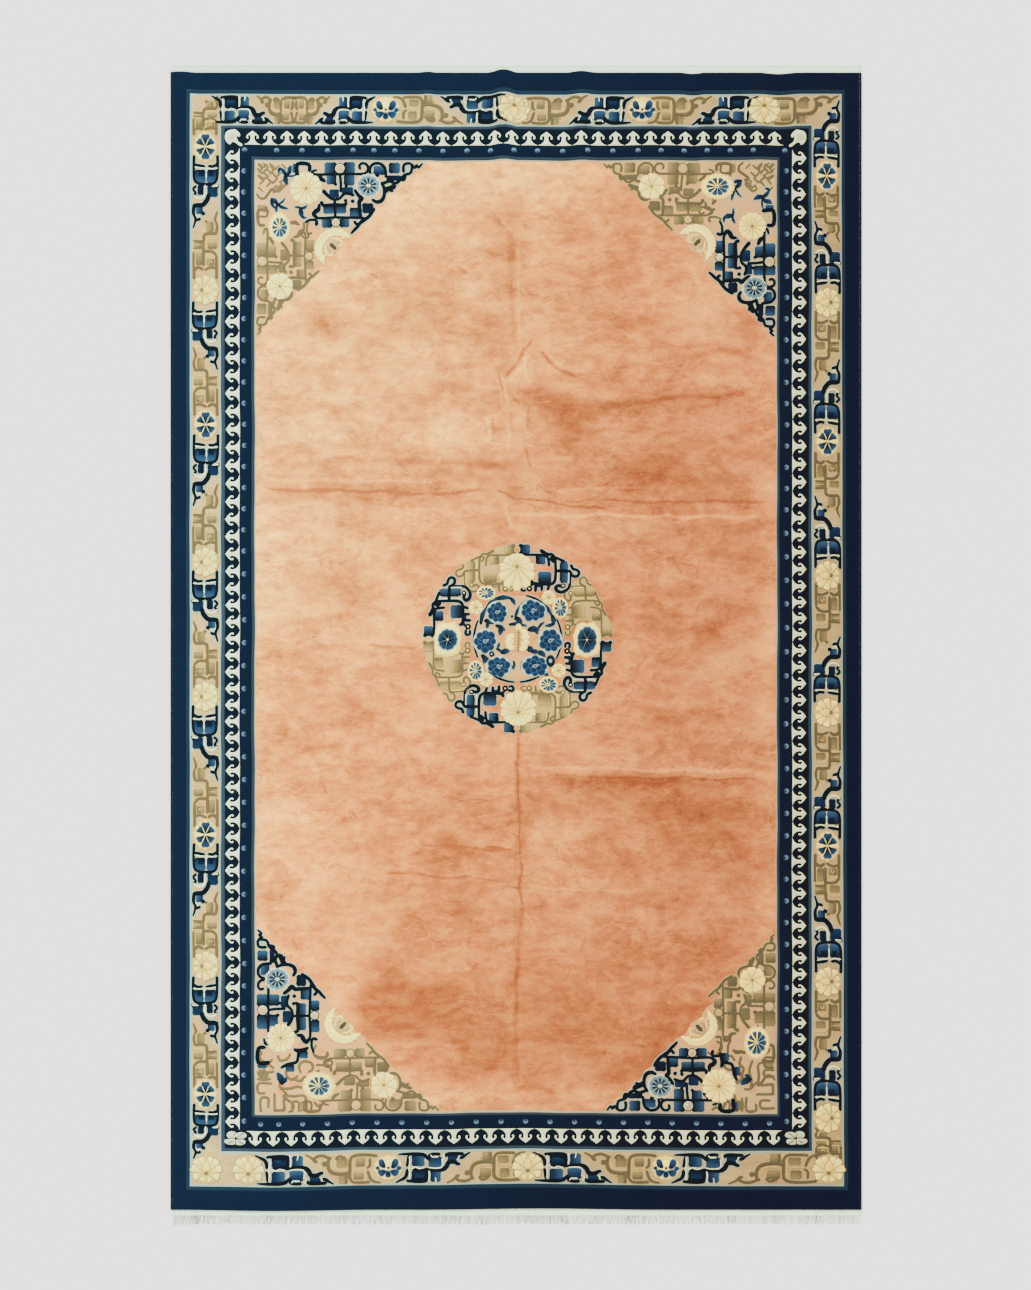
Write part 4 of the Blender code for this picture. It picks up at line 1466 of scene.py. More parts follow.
# ---------------------------------------------------------------- frets of the main border
# Each is drawn in photo pixels: u runs from its full end to its tip, v inwards from the tip's edge.
FRET_LENGTH = 61.0
END_HEIGHT = 27.4
SIDE_HEIGHT = 26.0
BLUE_END_LINES = (
    # frame at the full end, above and below the flower's foot
    Stroke((4, 9, 11, 10), ((-2.8, 27.0), (1.3, 24.8), (5.0, 22.6), (6.5, 19.0), (6.8, 15.6))),
    Stroke((9, 9), ((6.6, 11.6), (7.2, 8.0), (7.8, 3.4))),
    Stroke(
        (4, 9, 11, 11, 9),
        ((-0.8, 1.2), (4.0, 0.9), (10.0, 0.8), (16.0, 0.9), (21.0, 1.6), (23.4, 3.6), (25.4, 5.8)),
    ),
    # roof of the upper block and the upright beside it
    Stroke(
        (9, 11, 11, 10),
        ((7.0, 25.4), (12.0, 25.9), (18.0, 26.0), (23.0, 25.3), (24.4, 22.8), (24.2, 18.0), (23.6, 15.0)),
    ),
    # the thick line that steps down to the tip
    Stroke(
        (11, 12, 14, 14, 10),
        (
            (12.0, 15.0), (23.5, 15.2), (30.0, 15.2), (37.0, 15.0), (40.4, 12.4), (42.2, 8.6),
            (46.4, 8.2), (50.6, 10.4),
        ),
    ),
    Stroke((4, 9, 10), ((60.8, -0.2), (57.2, 2.0), (54.2, 4.4), (52.0, 4.4))),
    Stroke((10, 12, 9), ((54.4, 1.0), (48.0, 0.8), (41.4, 1.0), (39.4, 3.0))),
    Stroke((10, 9, 6), ((34.2, 0.8), (29.2, 0.7), (25.6, 2.0), (26.4, 3.6))),
)
BLUE_END_BLOCKS = (
    Block("ink", 10.6, 23.4, 15.6, 25.4, "-v"),
    Block("deep", 12.6, 22.0, 17.6, 22.8, "+v"),
    Block("mid", 27.0, 35.6, 15.6, 26.4, "+u"),
    Block("mid", 25.0, 36.4, 2.8, 13.4, "+v"),
    Block("mid", 10.6, 21.6, 0.8, 12.2, "+u"),
    Block("deep", 41.4, 50.4, 0.8, 7.6, "+v"),
)
BLUE_END_GLOWS = (
    Stroke((6, 8, 5), ((8.6, 24.0), (9.2, 19.0), (8.4, 14.0), (9.0, 9.0), (8.6, 3.4))),
    Stroke((7, 6), ((10.4, 14.6), (14.0, 12.8), (17.0, 14.2), (21.4, 13.2))),
    Stroke((8, 7), ((25.6, 26.0), (25.9, 21.0), (25.6, 16.6))),
    Stroke((5, 7, 6), ((25.2, 13.2), (30.0, 13.8), (35.6, 13.2), (37.2, 10.2), (36.6, 5.4))),
    Stroke((6, 4), ((31.8, 26.4), (31.2, 22.4))),
    Stroke((5, 6), ((51.8, 2.8), (50.8, 5.0), (49.6, 6.4))),
    Stroke((6, 6), ((38.2, 6.0), (38.6, 3.0), (37.4, 1.0))),
    Stroke((6, 5), ((33.2, 3.2), (28.6, 3.5), (27.0, 1.8))),
)
BLUE_END_DOTS = ((51.0, 10.3, 7.0),)

TAN_END_LINES = (
    Stroke(
        (8, 9, 9),
        ((-2.6, 2.4), (4.0, 1.6), (12.0, 1.6), (18.0, 2.8), (20.6, 6.4), (20.8, 13.0), (20.8, 22.0)),
    ),
    Stroke((5, 8, 8), ((-6.5, 26.8), (-2.0, 26.4), (2.0, 24.0), (4.0, 19.4), (4.8, 16.8))),
    Stroke((8, 8, 8), ((3.6, 26.4), (11.0, 26.8), (18.0, 26.2), (20.8, 22.0))),
    Stroke((7, 8, 6), ((3.2, 5.4), (3.2, 11.0), (5.6, 13.6))),
    Stroke(
        (8, 10, 10, 8),
        ((21.0, 17.6), (26.3, 18.6), (33.0, 18.2), (37.6, 16.2), (39.9, 12.0), (39.9, 6.0), (38.0, 3.4)),
    ),
    Stroke((8, 8, 9), ((39.6, 3.4), (45.0, 1.2), (50.4, 2.2), (53.0, 5.0), (50.6, 6.6))),
    Stroke((8, 4), ((53.0, 4.4), (56.4, 2.0), (60.0, 0.2))),
    Stroke((8, 7), ((25.6, 4.0), (30.4, 2.2), (33.0, 4.6))),
    Stroke((8, 8), ((23.8, 27.0), (23.6, 20.4))),
)
TAN_END_BLOCKS = (
    Block("mid", 7.6, 15.6, 4.4, 12.4, "-v"),
    Block("mid", 8.4, 17.4, 17.6, 24.2, "-v"),
    Block("mid", 23.0, 32.6, 4.4, 12.6, "+v"),
    Block("light", 24.4, 30.4, 19.4, 27.6, "+v"),
)
TAN_END_GLOWS = (
    Stroke((9, 12), ((17.6, 5.0), (18.0, 12.0), (17.8, 18.0))),
    Stroke((8, 10), ((5.8, 14.8), (10.0, 15.0), (16.0, 15.0))),
    Stroke((6, 7), ((6.0, 20.0), (6.0, 25.0))),
    Stroke((9, 9), ((24.0, 15.4), (30.0, 15.4), (35.6, 13.6), (36.6, 8.0))),
    Stroke((6, 7), ((44.0, 4.2), (47.4, 4.4))),
)
TAN_END_DOTS = ((43.4, 8.8, 11.0), (32.0, 22.0, 3.0))

BLUE_SIDE_LINES = (
    Stroke((9, 8, 8, 10, 8, 8, 9), (
        (-1.6, 25.2), (8.0, 25.4), (16.8, 25.2), (21.6, 23.4), (23.4, 19.1), (23.6, 13.6), (23.4, 9.1),
        (21.6, 3.6),
        (16.8, 1.6), (8.0, 1.4), (-1.6, 1.6),
    )),
    Stroke((8, 9, 8), ((5.6, 24.6), (7.7, 20.8), (7.2, 16.6))),
    Stroke((8, 9, 8), ((7.6, 12.0), (6.8, 7.5), (6.2, 2.6))),
    Stroke((8, 7, 9), ((25.4, 3.6), (28.0, 1.0), (31.2, 3.4), (34.0, 1.6))),
    Stroke((12, 14, 14, 13), ((33.0, 16.6), (36.6, 15.6), (39.8, 13.2), (42.2, 10.0), (42.4, 3.4))),
    Stroke((11, 8, 5), ((42.3, 2.0), (49.0, 1.0), (54.0, 3.0), (58.0, 2.4), (62.4, 0.8))),
    Stroke((9, 8), ((54.8, 7.4), (55.8, 4.0))),
    Stroke((9, 9), ((49.0, 11.4), (50.6, 10.4))),
    Stroke((9, 9), ((25.0, 26.0), (27.0, 24.6))),
)
BLUE_SIDE_BLOCKS = (
    Block("mid", 10.4, 22.4, 14.8, 24.6, "+u"),
    Block("mid", 10.4, 22.4, 2.4, 13.4, "+u"),
    Block("ink", 10.6, 16.6, 16.0, 21.6, "+u"),
    Block("ink", 10.6, 16.6, 6.0, 12.2, "+u"),
    Block("deep", 24.6, 35.2, 15.2, 26.0, "+u"),
    Block("ink", 24.4, 33.2, 5.4, 11.6, "-v"),
    Block("mid", 41.4, 50.4, 3.6, 10.6, "-v"),
)
BLUE_SIDE_GLOWS = (
    Stroke((5, 5, 7), ((8.5, 14.3), (13.0, 14.1), (17.5, 14.1))),
    Stroke((6, 6), ((9.2, 24.8), (9.8, 20.0), (9.4, 16.2))),
    Stroke((6, 6), ((9.2, 12.4), (9.0, 8.0), (8.2, 3.0))),
    Stroke((6, 10, 11, 8), ((24.8, 13.2), (31.5, 13.2), (35.6, 10.4), (36.2, 5.4), (33.8, 1.6))),
    Stroke((8, 5), ((25.2, 25.6), (25.6, 20.4))),
    Stroke((6, 7, 5), ((50.8, 7.4), (53.0, 5.6), (50.4, 3.4))),
)
BLUE_SIDE_DOTS = ((50.0, 11.4, 6.5),)

TAN_SIDE_LINES = (
    Stroke((8, 8), ((-2.0, 24.6), (8.0, 24.6), (22.0, 24.6))),
    Stroke((7, 9, 8), ((5.6, 24.4), (8.4, 20.0), (6.4, 16.2))),
    Stroke((8, 8, 8), ((10.6, 15.0), (22.0, 15.0), (34.0, 14.8), (38.6, 14.4), (40.4, 11.6), (40.4, 2.6))),
    Stroke((8, 8), ((23.3, 14.6), (23.6, 8.0), (22.0, 4.2), (18.0, 2.2), (8.0, 2.0), (-2.0, 2.0))),
    Stroke((7, 8), ((6.0, 13.4), (8.2, 8.0), (7.4, 2.0))),
    Stroke((7, 8, 7, 4), ((40.4, 2.6), (46.7, 1.4), (53.0, 3.4), (57.6, 2.4), (61.6, 0.8))),
    Stroke((7, 7), ((26.0, 24.2), (26.0, 16.8))),
    Stroke((7, 7), ((33.4, 24.2), (33.0, 16.8))),
)
TAN_SIDE_BLOCKS = (
    Block("mid", 10.4, 22.0, 16.6, 22.4, "+u"),
    Block("mid", 10.0, 16.4, 4.2, 11.8, "+v"),
    Block("mid", 27.0, 32.4, 17.0, 24.6, "+v"),
    Block("mid", 25.8, 32.0, 1.6, 10.6, "+u"),
    Block("mid", 42.0, 51.6, 5.0, 12.0, "+v"),
)
TAN_SIDE_GLOWS = (
    Stroke((5, 5), ((9.4, 23.2), (22.0, 23.2))),
    Stroke((6, 10, 8), ((16.4, 13.2), (20.4, 8.4), (18.2, 3.6))),
    Stroke((7, 7), ((24.6, 24.2), (24.8, 17.0))),
    Stroke((4, 4), ((29.6, 24.2), (29.6, 18.0))),
    Stroke((9, 12, 9), ((25.6, 12.8), (31.8, 12.6), (35.2, 9.6), (35.2, 2.0))),
    Stroke((7, 6), ((44.0, 3.8), (50.0, 3.8), (53.0, 6.8))),
    Stroke((4, 4), ((12.0, 9.6), (14.6, 8.0), (12.6, 6.0))),
)
TAN_SIDE_DOTS = ((52.0, 12.4, 6.0),)


# The top and bottom border's frets have their full height at their flower and taper to a pointed curl.
END_FRETS = {
    "blue": Design(BLUE_END_LINES, BLUE_END_BLOCKS, BLUE_END_GLOWS, (), BLUE_END_DOTS),
    "tan": Design(TAN_END_LINES, TAN_END_BLOCKS, TAN_END_GLOWS, (), TAN_END_DOTS),
}
# The left and right border's frets are a cup round two blocks, and step down to a pointed curl.
SIDE_FRETS = {
    "blue": Design(BLUE_SIDE_LINES, BLUE_SIDE_BLOCKS, BLUE_SIDE_GLOWS, (), BLUE_SIDE_DOTS),
    "tan": Design(TAN_SIDE_LINES, TAN_SIDE_BLOCKS, TAN_SIDE_GLOWS, (), TAN_SIDE_DOTS),
}
PALETTES = {"blue": BLUES, "tan": TANS}


# ---------------------------------------------------------------- corner designs
# One half of a corner, in photo pixels: u runs from the field's corner along the blue side, v inwards.
CORNER_LINES = (
    # upper cross: its bar with a hooked and a curled end, and the stem below it
    Stroke(
        (6, 9, 8, 8),
        ((60.6, 8.4), (57.4, 9.4), (56.4, 11.6), (59.6, 12.9), (70, 12.8), (84, 12.8), (98, 12.8)),
    ),
    Stroke(
        (8, 9, 8, 8),
        (
            (98, 12.8), (107.6, 12.6), (111.4, 10.2), (112.2, 6.4), (109.8, 2.6), (105.6, 2.2),
            (103.4, 4.8), (104.2, 7.4),
        ),
    ),
    Stroke((9, 13, 9), ((63.6, 13.5), (65.6, 17.2), (69.2, 19.4))),
    Stroke((8, 8), ((84.4, 14), (85.2, 22), (85.2, 30))),
    Stroke(
        (12, 9, 8, 9, 9),
        (
            (68, 29.2), (72.2, 33.8), (76.4, 37.2), (80.6, 38), (84.4, 36.8), (88, 33), (92.2, 32.2),
            (97.8, 34),
        ),
    ),
    # lower cross
    Stroke((8, 8), ((79, 38), (79.2, 46), (79.3, 55))),
    Stroke((9, 11, 10, 9), ((66.4, 43.4), (71, 43.8), (79, 43.2), (86, 43.6), (90.6, 43))),
    Stroke((8, 8, 8), ((59.8, 54.6), (62, 56.4), (68, 56.4), (79, 55.8), (92, 56.4), (108, 56.8))),
    Stroke((8, 14, 13, 9), ((63.4, 43), (62.8, 47.6), (59.4, 50), (57.8, 53), (61, 56))),
    Stroke((7, 8, 10), ((49.6, 60.6), (53.6, 58.4), (58.6, 58.2), (60.6, 59.8), (60, 63))),
    # lines stepping down the diagonal
    Stroke(
        (10, 13, 12, 9),
        ((99.6, 29.2), (103, 34), (106.2, 37.2), (103.6, 40.6), (104, 48), (104.6, 56.4)),
    ),
    Stroke((11, 10, 12, 9, 10, 7), (
        (118, 47.4), (113.4, 54.6), (108.4, 58.4), (104.4, 61.4), (101.4, 65.6), (98.6, 68.2), (95.2, 72),
    )),
    Stroke((9, 9), ((98.4, 60.6), (100.4, 63), (103.6, 62.4))),
    Stroke((9, 12, 10, 9), ((117, 38.4), (121, 40.4), (125.8, 39), (128.6, 34), (128.6, 26.4), (126, 21.4))),
    Stroke((9, 16), ((128.4, 27.2), (133, 26.6), (138.6, 24.8))),
    Stroke((9, 8), ((133, 28.2), (137.2, 29.2))),
    Stroke(
        (9, 10, 9, 10, 9),
        (
            (125.4, 21.8), (130.4, 20.6), (134, 19.4), (139, 21.4), (142.4, 20.4), (145, 17.6),
            (148.2, 18.2), (149.6, 13.4),
        ),
    ),
    Stroke((9, 10), ((111.5, 13.2), (113.6, 17.6))),
    Stroke((8, 9, 9), ((114.8, 13), (114, 7.2), (117.2, 2.6), (123.6, 1.9), (128.8, 6), (130.2, 15))),
    Stroke(
        (9, 8, 9),
        ((144.6, 18), (148.6, 13.4), (155, 10.8), (155.4, 2.5), (149.2, 2.1), (147.4, 5.6), (147.8, 10)),
    ),
    Stroke((9, 9, 7, 6), ((155.6, 2.6), (158.6, 6), (161, 3.2), (162.4, 6), (166.6, 2))),
    # near the field's corner
    Stroke((12, 12, 11), ((41.4, 13.6), (41.4, 2.8), (52.6, 2.8), (53.6, 9))),
)
CORNER_BLOCKS = (
    Block("full", 68.6, 80.6, 0.8, 12.0, "-u"),
    Block("full", 71.0, 80.6, 13.4, 22.8, "-u"),
    Block("full", 87.4, 99.0, 0.8, 12.0, "+u"),
    Block("full", 88.2, 98.8, 13.4, 24.4, "+u"),
    Block("deep", 86.4, 97.6, 26.0, 32.6, "+u"),
    Block("deep", 73.8, 83.4, 27.8, 36.2, "-u"),
    Block("full", 67.4, 78.2, 43.6, 52.0, "+v"),
    Block("full", 80.2, 90.4, 43.6, 52.0, "+v"),
    Block("full", 65.8, 76.0, 57.4, 66.0, "-u"),
    Block("full", 83.4, 93.0, 57.4, 66.0, "+u"),
    Block("full", 93.8, 103.4, 46.4, 56.0, "+v"),
    Block("ink", 106.4, 117.6, 41.8, 52.0, "+v"),
    Block("mid", 117.6, 129.4, 4.4, 13.2, "-v"),
    Block("full", 132.8, 144.0, 1.0, 11.6, "+u"),
    Block("ink", 130.8, 145.0, 13.8, 19.0, "+u"),
    Block("mid", 36.8, 41.0, 2.4, 11.0, "-u"),
)
# Round openings between the blocks: place and radius.
CORNER_OPEN = ((84.0, 7.0, 5.6), (79.6, 61.0, 4.8))
CORNER_DOTS = (
    (80.0, 22.8, 7.0), (90.6, 24.6, 7.0), (90.0, 39.3, 7.5), (97.0, 40.0, 8.0), (66.0, 41.2, 8.0),
    (121.4, 13.6, 9.0),
    (90.4, 41.6, 6.0), (131.2, 29.8, 6.0),
)
CORNER_FRET = Design(CORNER_LINES, CORNER_BLOCKS, dots=CORNER_DOTS)
# Small leaf sprigs: places and ends of their leaves.
Leaf = namedtuple("Leaf", "u0 v0 u1 v1 width")
CORNER_LEAVES = (
    Leaf(30.6, 15, 24.0, 6.4, 17), Leaf(24.0, 6.4, 22.8, 11.4, 12), Leaf(30.6, 15, 35.0, 4.6, 18),
    Leaf(35.0, 4.6, 31.8, 8.6, 10),
    Leaf(29.8, 13.6, 31.6, 23.0, 22), Leaf(31.4, 14.6, 41.0, 13.2, 9), Leaf(21.6, 42.4, 15.4, 37.0, 20),
    Leaf(21.6, 42.8, 32.0, 47.2, 15), Leaf(22.4, 43.0, 29.6, 36.8, 10), Leaf(21.4, 43.0, 20.6, 50.4, 14),
    Leaf(15.8, 38.0, 18.4, 46.4, 16), Leaf(45.8, 47.0, 38.6, 45.8, 11), Leaf(45.6, 47.0, 51.2, 44.2, 13),
    Leaf(45.0, 46.6, 46.8, 56.4, 22), Leaf(46.0, 55.4, 50.4, 56.2, 11),
)

# Tan tendrils and leaves on the tan half, measured the same way but not mirrored.
TENDRILS = (
    Stroke(
        (8, 10, 10, 8, 8),
        (
            (1.4, 33), (4, 36.6), (9, 37), (13, 31.8), (16.6, 27.4), (18.4, 28.6), (17.8, 30.8), (21, 29),
            (24.6, 24.4),
        ),
    ),
    Stroke((11, 14, 16, 9), ((30.6, 60.4), (35, 61.4), (39, 61), (42.6, 63.2))),
    Stroke((9, 9, 8, 8), ((47.8, 61), (47.6, 68), (45.4, 73), (48.6, 76.6), (52.4, 75.4), (51, 71.6))),
    Stroke((9, 9), ((2.4, 45), (10.4, 45.6), (11, 54.6), (3.4, 55))),
)

# Faint lattice in the very corner.
LATTICE = (
    ((2, 3), (6, 7), (3, 11)), ((7, 2), (12, 6), (8, 11), (13, 15)), ((14, 2), (18, 7), (14, 12)),
    ((3, 14), (8, 18), (4, 23)),
    ((10, 16), (15, 20), (11, 25)), ((17, 12), (21, 17), (17, 22)), ((3, 26), (7, 30)),
    ((24, 20), (27, 25), (23, 30), (19, 28), (20, 25)),
)

FAINT = between(TAN, OLIVE, 0.25)  # what the lattice and the key frets are drawn in
# Key frets that fill the corner at the lower end instead. Here v runs along the tan side.
KEYS = (
    (
        (19.6, 18.4), (4.0, 18.4), (3.2, 20.0), (3.2, 26.6), (4.4, 28.2), (16.6, 28.2), (16.8, 38.0),
        (16.6, 49.0), (2.0, 50.4),
    ),
    ((2.0, 36.2), (10.8, 36.2), (10.8, 42.4), (2.0, 42.6)),
    ((29.8, 15.4), (29.8, 2.6), (20.6, 2.2), (20.4, 8.4)),
    ((2.0, 4.6), (14.6, 4.4), (15.4, 11.8), (6.4, 12.0)),
    ((41.6, 18.0), (40.6, 8.2), (42.6, 5.2), (40.4, 2.6), (37.4, 4.2), (37.8, 7.0)),
    ((31.4, 24.0), (25.6, 24.4), (24.6, 33.6), (26.4, 42.0), (23.2, 52.0)),
    ((34.6, 36.6), (32.0, 44.6), (36.0, 49.0), (34.4, 56.0)),
    ((10.6, 58.4), (6.4, 62.6), (10.8, 66.8), (14.6, 61.0)),
    ((42.6, 7.4), (40.6, 11.2), (36.6, 11.0), (35.2, 7.4), (37.4, 4.0), (41.4, 4.2), (43.4, 9.0)),
    ((34.2, 2.0), (33.8, 8.0), (34.4, 14.4)),
    ((64.0, 3.2), (60.0, 5.6), (56.0, 4.0), (52.0, 7.0), (50.4, 13.0), (53.6, 16.4)),
    ((47.6, 2.4), (46.2, 8.6), (48.4, 13.6), (45.0, 17.8)),
    ((46.0, 32.6), (41.2, 30.4), (36.6, 31.6), (33.2, 36.2), (36.8, 41.6)),
    ((57.4, 22.4), (52.6, 24.6), (53.8, 31.2), (58.6, 34.6)),
    ((40.6, 45.0), (46.6, 43.4), (51.4, 47.6), (50.2, 55.4), (44.4, 57.4), (41.0, 53.0)),
    ((67.4, 60.4), (61.4, 57.4), (55.6, 61.0), (54.2, 68.4), (59.0, 71.6)),
)

# The small pink flowers between them: their places and radii.
PINKS = ((31.6, 38.6, 7.6), (24.6, 25.6, 6.0), (60.6, 65.0, 5.6), (67.0, 45.6, 5.0))

# The blue hook in the middle of a lower corner, measured along the stretched blue half. It keeps its
# distance from the halo flower, which lies at v = HOOK_HALO where the hook was measured.
HOOK_HALO = 63.0
HOOK_LINES = (
    Stroke((9, 12, 12, 9), ((51.8, 40.4), (50.8, 44.0), (51.6, 51.0), (53.0, 54.0))),
    Stroke((10, 9, 9, 10, 8), ((50.8, 45.0), (45.4, 44.2), (41.4, 42.4), (39.6, 33.0), (37.2, 27.0))),
)
HOOK_BLOCKS = (
    Block("full", 44.6, 50.4, 46.2, 54.4, "-u"),
    Block("full", 33.8, 39.2, 31.4, 40.4, "-u"),
)
HOOK = Design(HOOK_LINES, HOOK_BLOCKS)
HOOK_LEAVES = (Leaf(24.4, 27.4, 32.6, 22.8, 30), Leaf(25.0, 28.6, 29.4, 31.8, 18))

# Each corner: the field's corner, the steps of u and v, and where the flowers lie on both.
Corner = namedtuple(
    "Corner",
    "px py ux uy vx vy blue tan big halo blue_flower tan_flower palmette big_radius halo_size",
)
CORNERS = (
    Corner(
        256.0, 161.0, 1, 0, 0, -1, (84, 113, 166, 1.00), (100, 124, 173, 0.87), (50.6, 27), (23.4, 66),
        (112.8, 24.4), (23.4, 125), (77, 85), 0.064, (7.8, 10.2, 11.0, 15.4),
    ),
    Corner(
        776.0, 161.0, 0, -1, -1, 0, (101, 127, 175, 0.93), (93, 122, 172, 0.95), (65, 24), (25, 58),
        (127, 22), (25, 124), (81, 79), 0.055, (11.6, 9.2, 17.4, 13.4),
    ),
    Corner(
        256.0, 1113.0, 0, 1, 1, 0, (103, 134, 183, 0.96), (100, 128, 182, 0.96), (75, 25), (27, 63),
        (134, 21), (27, 128), (87, 87), 0.057, (10.8, 9.6, 16.8, 14.2),
    ),
    Corner(
        776.0, 1113.0, -1, 0, 0, 1, (88, 116, 169, 0.98), (106, 133, 178, 0.94), (57, 27), (19, 70),
        (116, 26), (24, 133), (77, 85), 0.067, (9.8, 12.0, 13.2, 17.2),
    ),
)


# The corner design's own places, as it was measured: its cross, its flower and its end.
MEASURED = (84, 113, 166)
UNSTRETCHED = (*MEASURED, 1.0)


def corner_half(corner, stretch, mirrored):
    """Places of one half, stretched piece by piece, and mirrored over the diagonal for the tan half."""
    x0, y0 = place(corner.px, corner.py)
    cross, flower, end, across = stretch

    def at(u, v):
        u = float(np.interp(u, (0, *MEASURED), (0, cross, flower, end)))
        v = v * across
        if mirrored:
            u, v = v, u
        return (x0 + (u * corner.ux + v * corner.vx) * PIXEL, y0 + (u * corner.uy + v * corner.vy) * PIXEL)

    return at


def draw_corner_half(drawing, at, palette):
    weight = 1.0 if palette is BLUES else 0.70
    fretwork(drawing, at, palette, CORNER_FRET, weight)
    for u, v, radius in CORNER_OPEN:
        drawing.motif()
        x, y = at(u, v)
        size = radius * PIXEL
        drawing.patch(ellipse(x, y, size, size), palette.line, LEVEL_TOP)
        drawing.patch(ellipse(x, y, size - 0.004, size - 0.004), palette.glow, LEVEL_DETAIL)
        drawing.patch(ellipse(x, y, size - 0.0058, size - 0.0058), CORNER_GROUND, LEVEL_DETAIL)


def draw_leaves(drawing, at, leaves, palette, halo=HALO):
    """Short leaves, widest in their middle, each on its pale halo."""
    drawing.motif()
    strokes = []
    for leaf in leaves:
        du, dv = leaf.u1 - leaf.u0, leaf.v1 - leaf.v0
        bend = ((leaf.u0 + leaf.u1) / 2 - 0.08 * dv, (leaf.v0 + leaf.v1) / 2 + 0.08 * du)
        widths = (leaf.width * 0.6, leaf.width, leaf.width * 0.4)
        strokes.append(Stroke(widths, ((leaf.u0, leaf.v0), bend, (leaf.u1, leaf.v1))))
    for stroke in strokes:
        drawing.patch(stroke_path(at, stroke, 1.0, 2 * halo), palette.halo, LEVEL_UNDER)
    for stroke in strokes:
        x0, y0 = at(*stroke.points[0])
        x1, y1 = at(*stroke.points[2])
        shade = Fade(palette.line, between(palette.middle, palette.light, 0.2), x0, y0, x1, y1)
        drawing.patch(stroke_path(at, stroke), shade, LEVEL_FILL)


# Outlines of a palmette's ring of petals, of its heart and of the bud in it, in photo pixels.
PALMETTE_CRESCENT = (
    (7, 19), (0, 18.5), (-7, 15), (-12, 8), (-13.4, 0), (-12, -8), (-7, -15), (0, -18.5), (7, -19),
    (3, -15.6), (-3, -12.6), (-7.6, -7), (-9, 0), (-7.6, 7), (-3, 12.6), (3, 15.6),
)
PALMETTE_HEART = ((-7, -5), (-2, -9.6), (5, -9), (6, 0), (5, 9), (-2, 9.6), (-7, 5))
PALMETTE_BUD = ((-5.4, 0), (-2.4, -2.2), (3.0, -1.8), (4.6, 0), (3.0, 1.8), (-2.4, 2.2))


def palmette(drawing, x, y, step, axis):
    """A cream half-flower whose petals curl round an olive bud, and which opens along the axis."""
    drawing.motif(FLOWER_RISE)
    at = turned_spot(x, y, step, axis)
    for k in range(9):
        angle = math.pi + (k - 4) * 0.40
        x1, y1 = at(17.5 * math.cos(angle), 19.5 * math.sin(angle))
        x0, y0 = at(10 * math.cos(angle), 11 * math.sin(angle))
        half = 0.22
        points = [
            at((10 + 7.5 * r) * math.cos(angle + a * half), (11 + 8.5 * r) * math.sin(angle + a * half))
            for r, a in PETAL
        ]
        drawing.patch(grown(rounded(points, 2), 0.002), CREAM_SHADE, LEVEL_UNDER)
        drawing.patch(rounded(points, 2), Fade(CREAM, CREAM_LIGHT, x0, y0, x1, y1), LEVEL_LINE)
    drawing.patch(put_all(at, rounded(PALMETTE_CRESCENT, 2)), CREAM_LIGHT, LEVEL_FILL)
    drawing.patch(put_all(at, rounded(PALMETTE_HEART, 2)), CORNER_GROUND, LEVEL_FILL)
    for v in (-1, 1):
        curl = ((-6.4, 5 * v), (-1, 9 * v), (3.6, 9.4 * v), (5.6, 6.6 * v), (3.4, 4.4 * v))
        drawing.patch(ribbon(put_all(at, curl), [0.007, 0.010, 0.005]), CREAM, LEVEL_TOP)
        vein = ((-5, 2.4 * v), (-1.6, 5.4 * v), (1.8, 5 * v))
        drawing.patch(ribbon(put_all(at, vein), [0.004, 0.006]), STRAW, LEVEL_TOP)
    drawing.patch(put_all(at, PALMETTE_BUD), OLIVE_DEEP, LEVEL_DETAIL)


def corner_ground(drawing, corner):
    """The paler ground under a corner's design. Its long side runs over the field in small steps."""
    at = corner_half(corner, UNSTRETCHED, False)
    reach_u, reach_v = corner.blue[2] - 2.0, corner.tan[2] - 2.0
    points = [(0.3, 0.3), (reach_u, 0.3)]
    for k in range(1, 22):
        share = k / 22
        step = 1.6 if k % 2 else -0.6
        points.append((reach_u * (1 - share) + step, reach_v * share + step))
    points.append((0.3, reach_v))
    x0, y0 = at(8, 8)
    x1, y1 = at(reach_u * 0.5, reach_v * 0.5)
    pinker = between(CORNER_GROUND, PINK, 0.75)
    drawing.patch(put_all(at, points), Fade(CORNER_GROUND, pinker, x0, y0, x1, y1), LEVEL_GROUND)


def corner_flower(drawing, x, y, step, turn):
    """A round mid-blue flower: many narrow petals pale at their rims, round a white eye."""
    drawing.motif(FLOWER_RISE)
    petal_ring(drawing, x, y, step * 12.6, 10, LINE, CLOUD, LEVEL_UNDER, turn, 0.96, 0.0, 0.0, 1.2)
    petal_ring(drawing, x, y, step * 11.4, 10, BLUE, BLUE_PALE, LEVEL_FILL, turn, 0.96, 0.0, 0.05, 0.98)
    petal_ring(drawing, x, y, step * 8.2, 10, INK, BLUE, LEVEL_TOP, turn, 0.96, 0.0, 0.16, 0.60)
    drawing.patch(ellipse(x, y, step * 2.2, step * 1.5), CLOUD, LEVEL_DETAIL)
    drawing.patch(ellipse(x, y, step * 0.9, step * 0.7, count=8), BLUE, LEVEL_DETAIL)


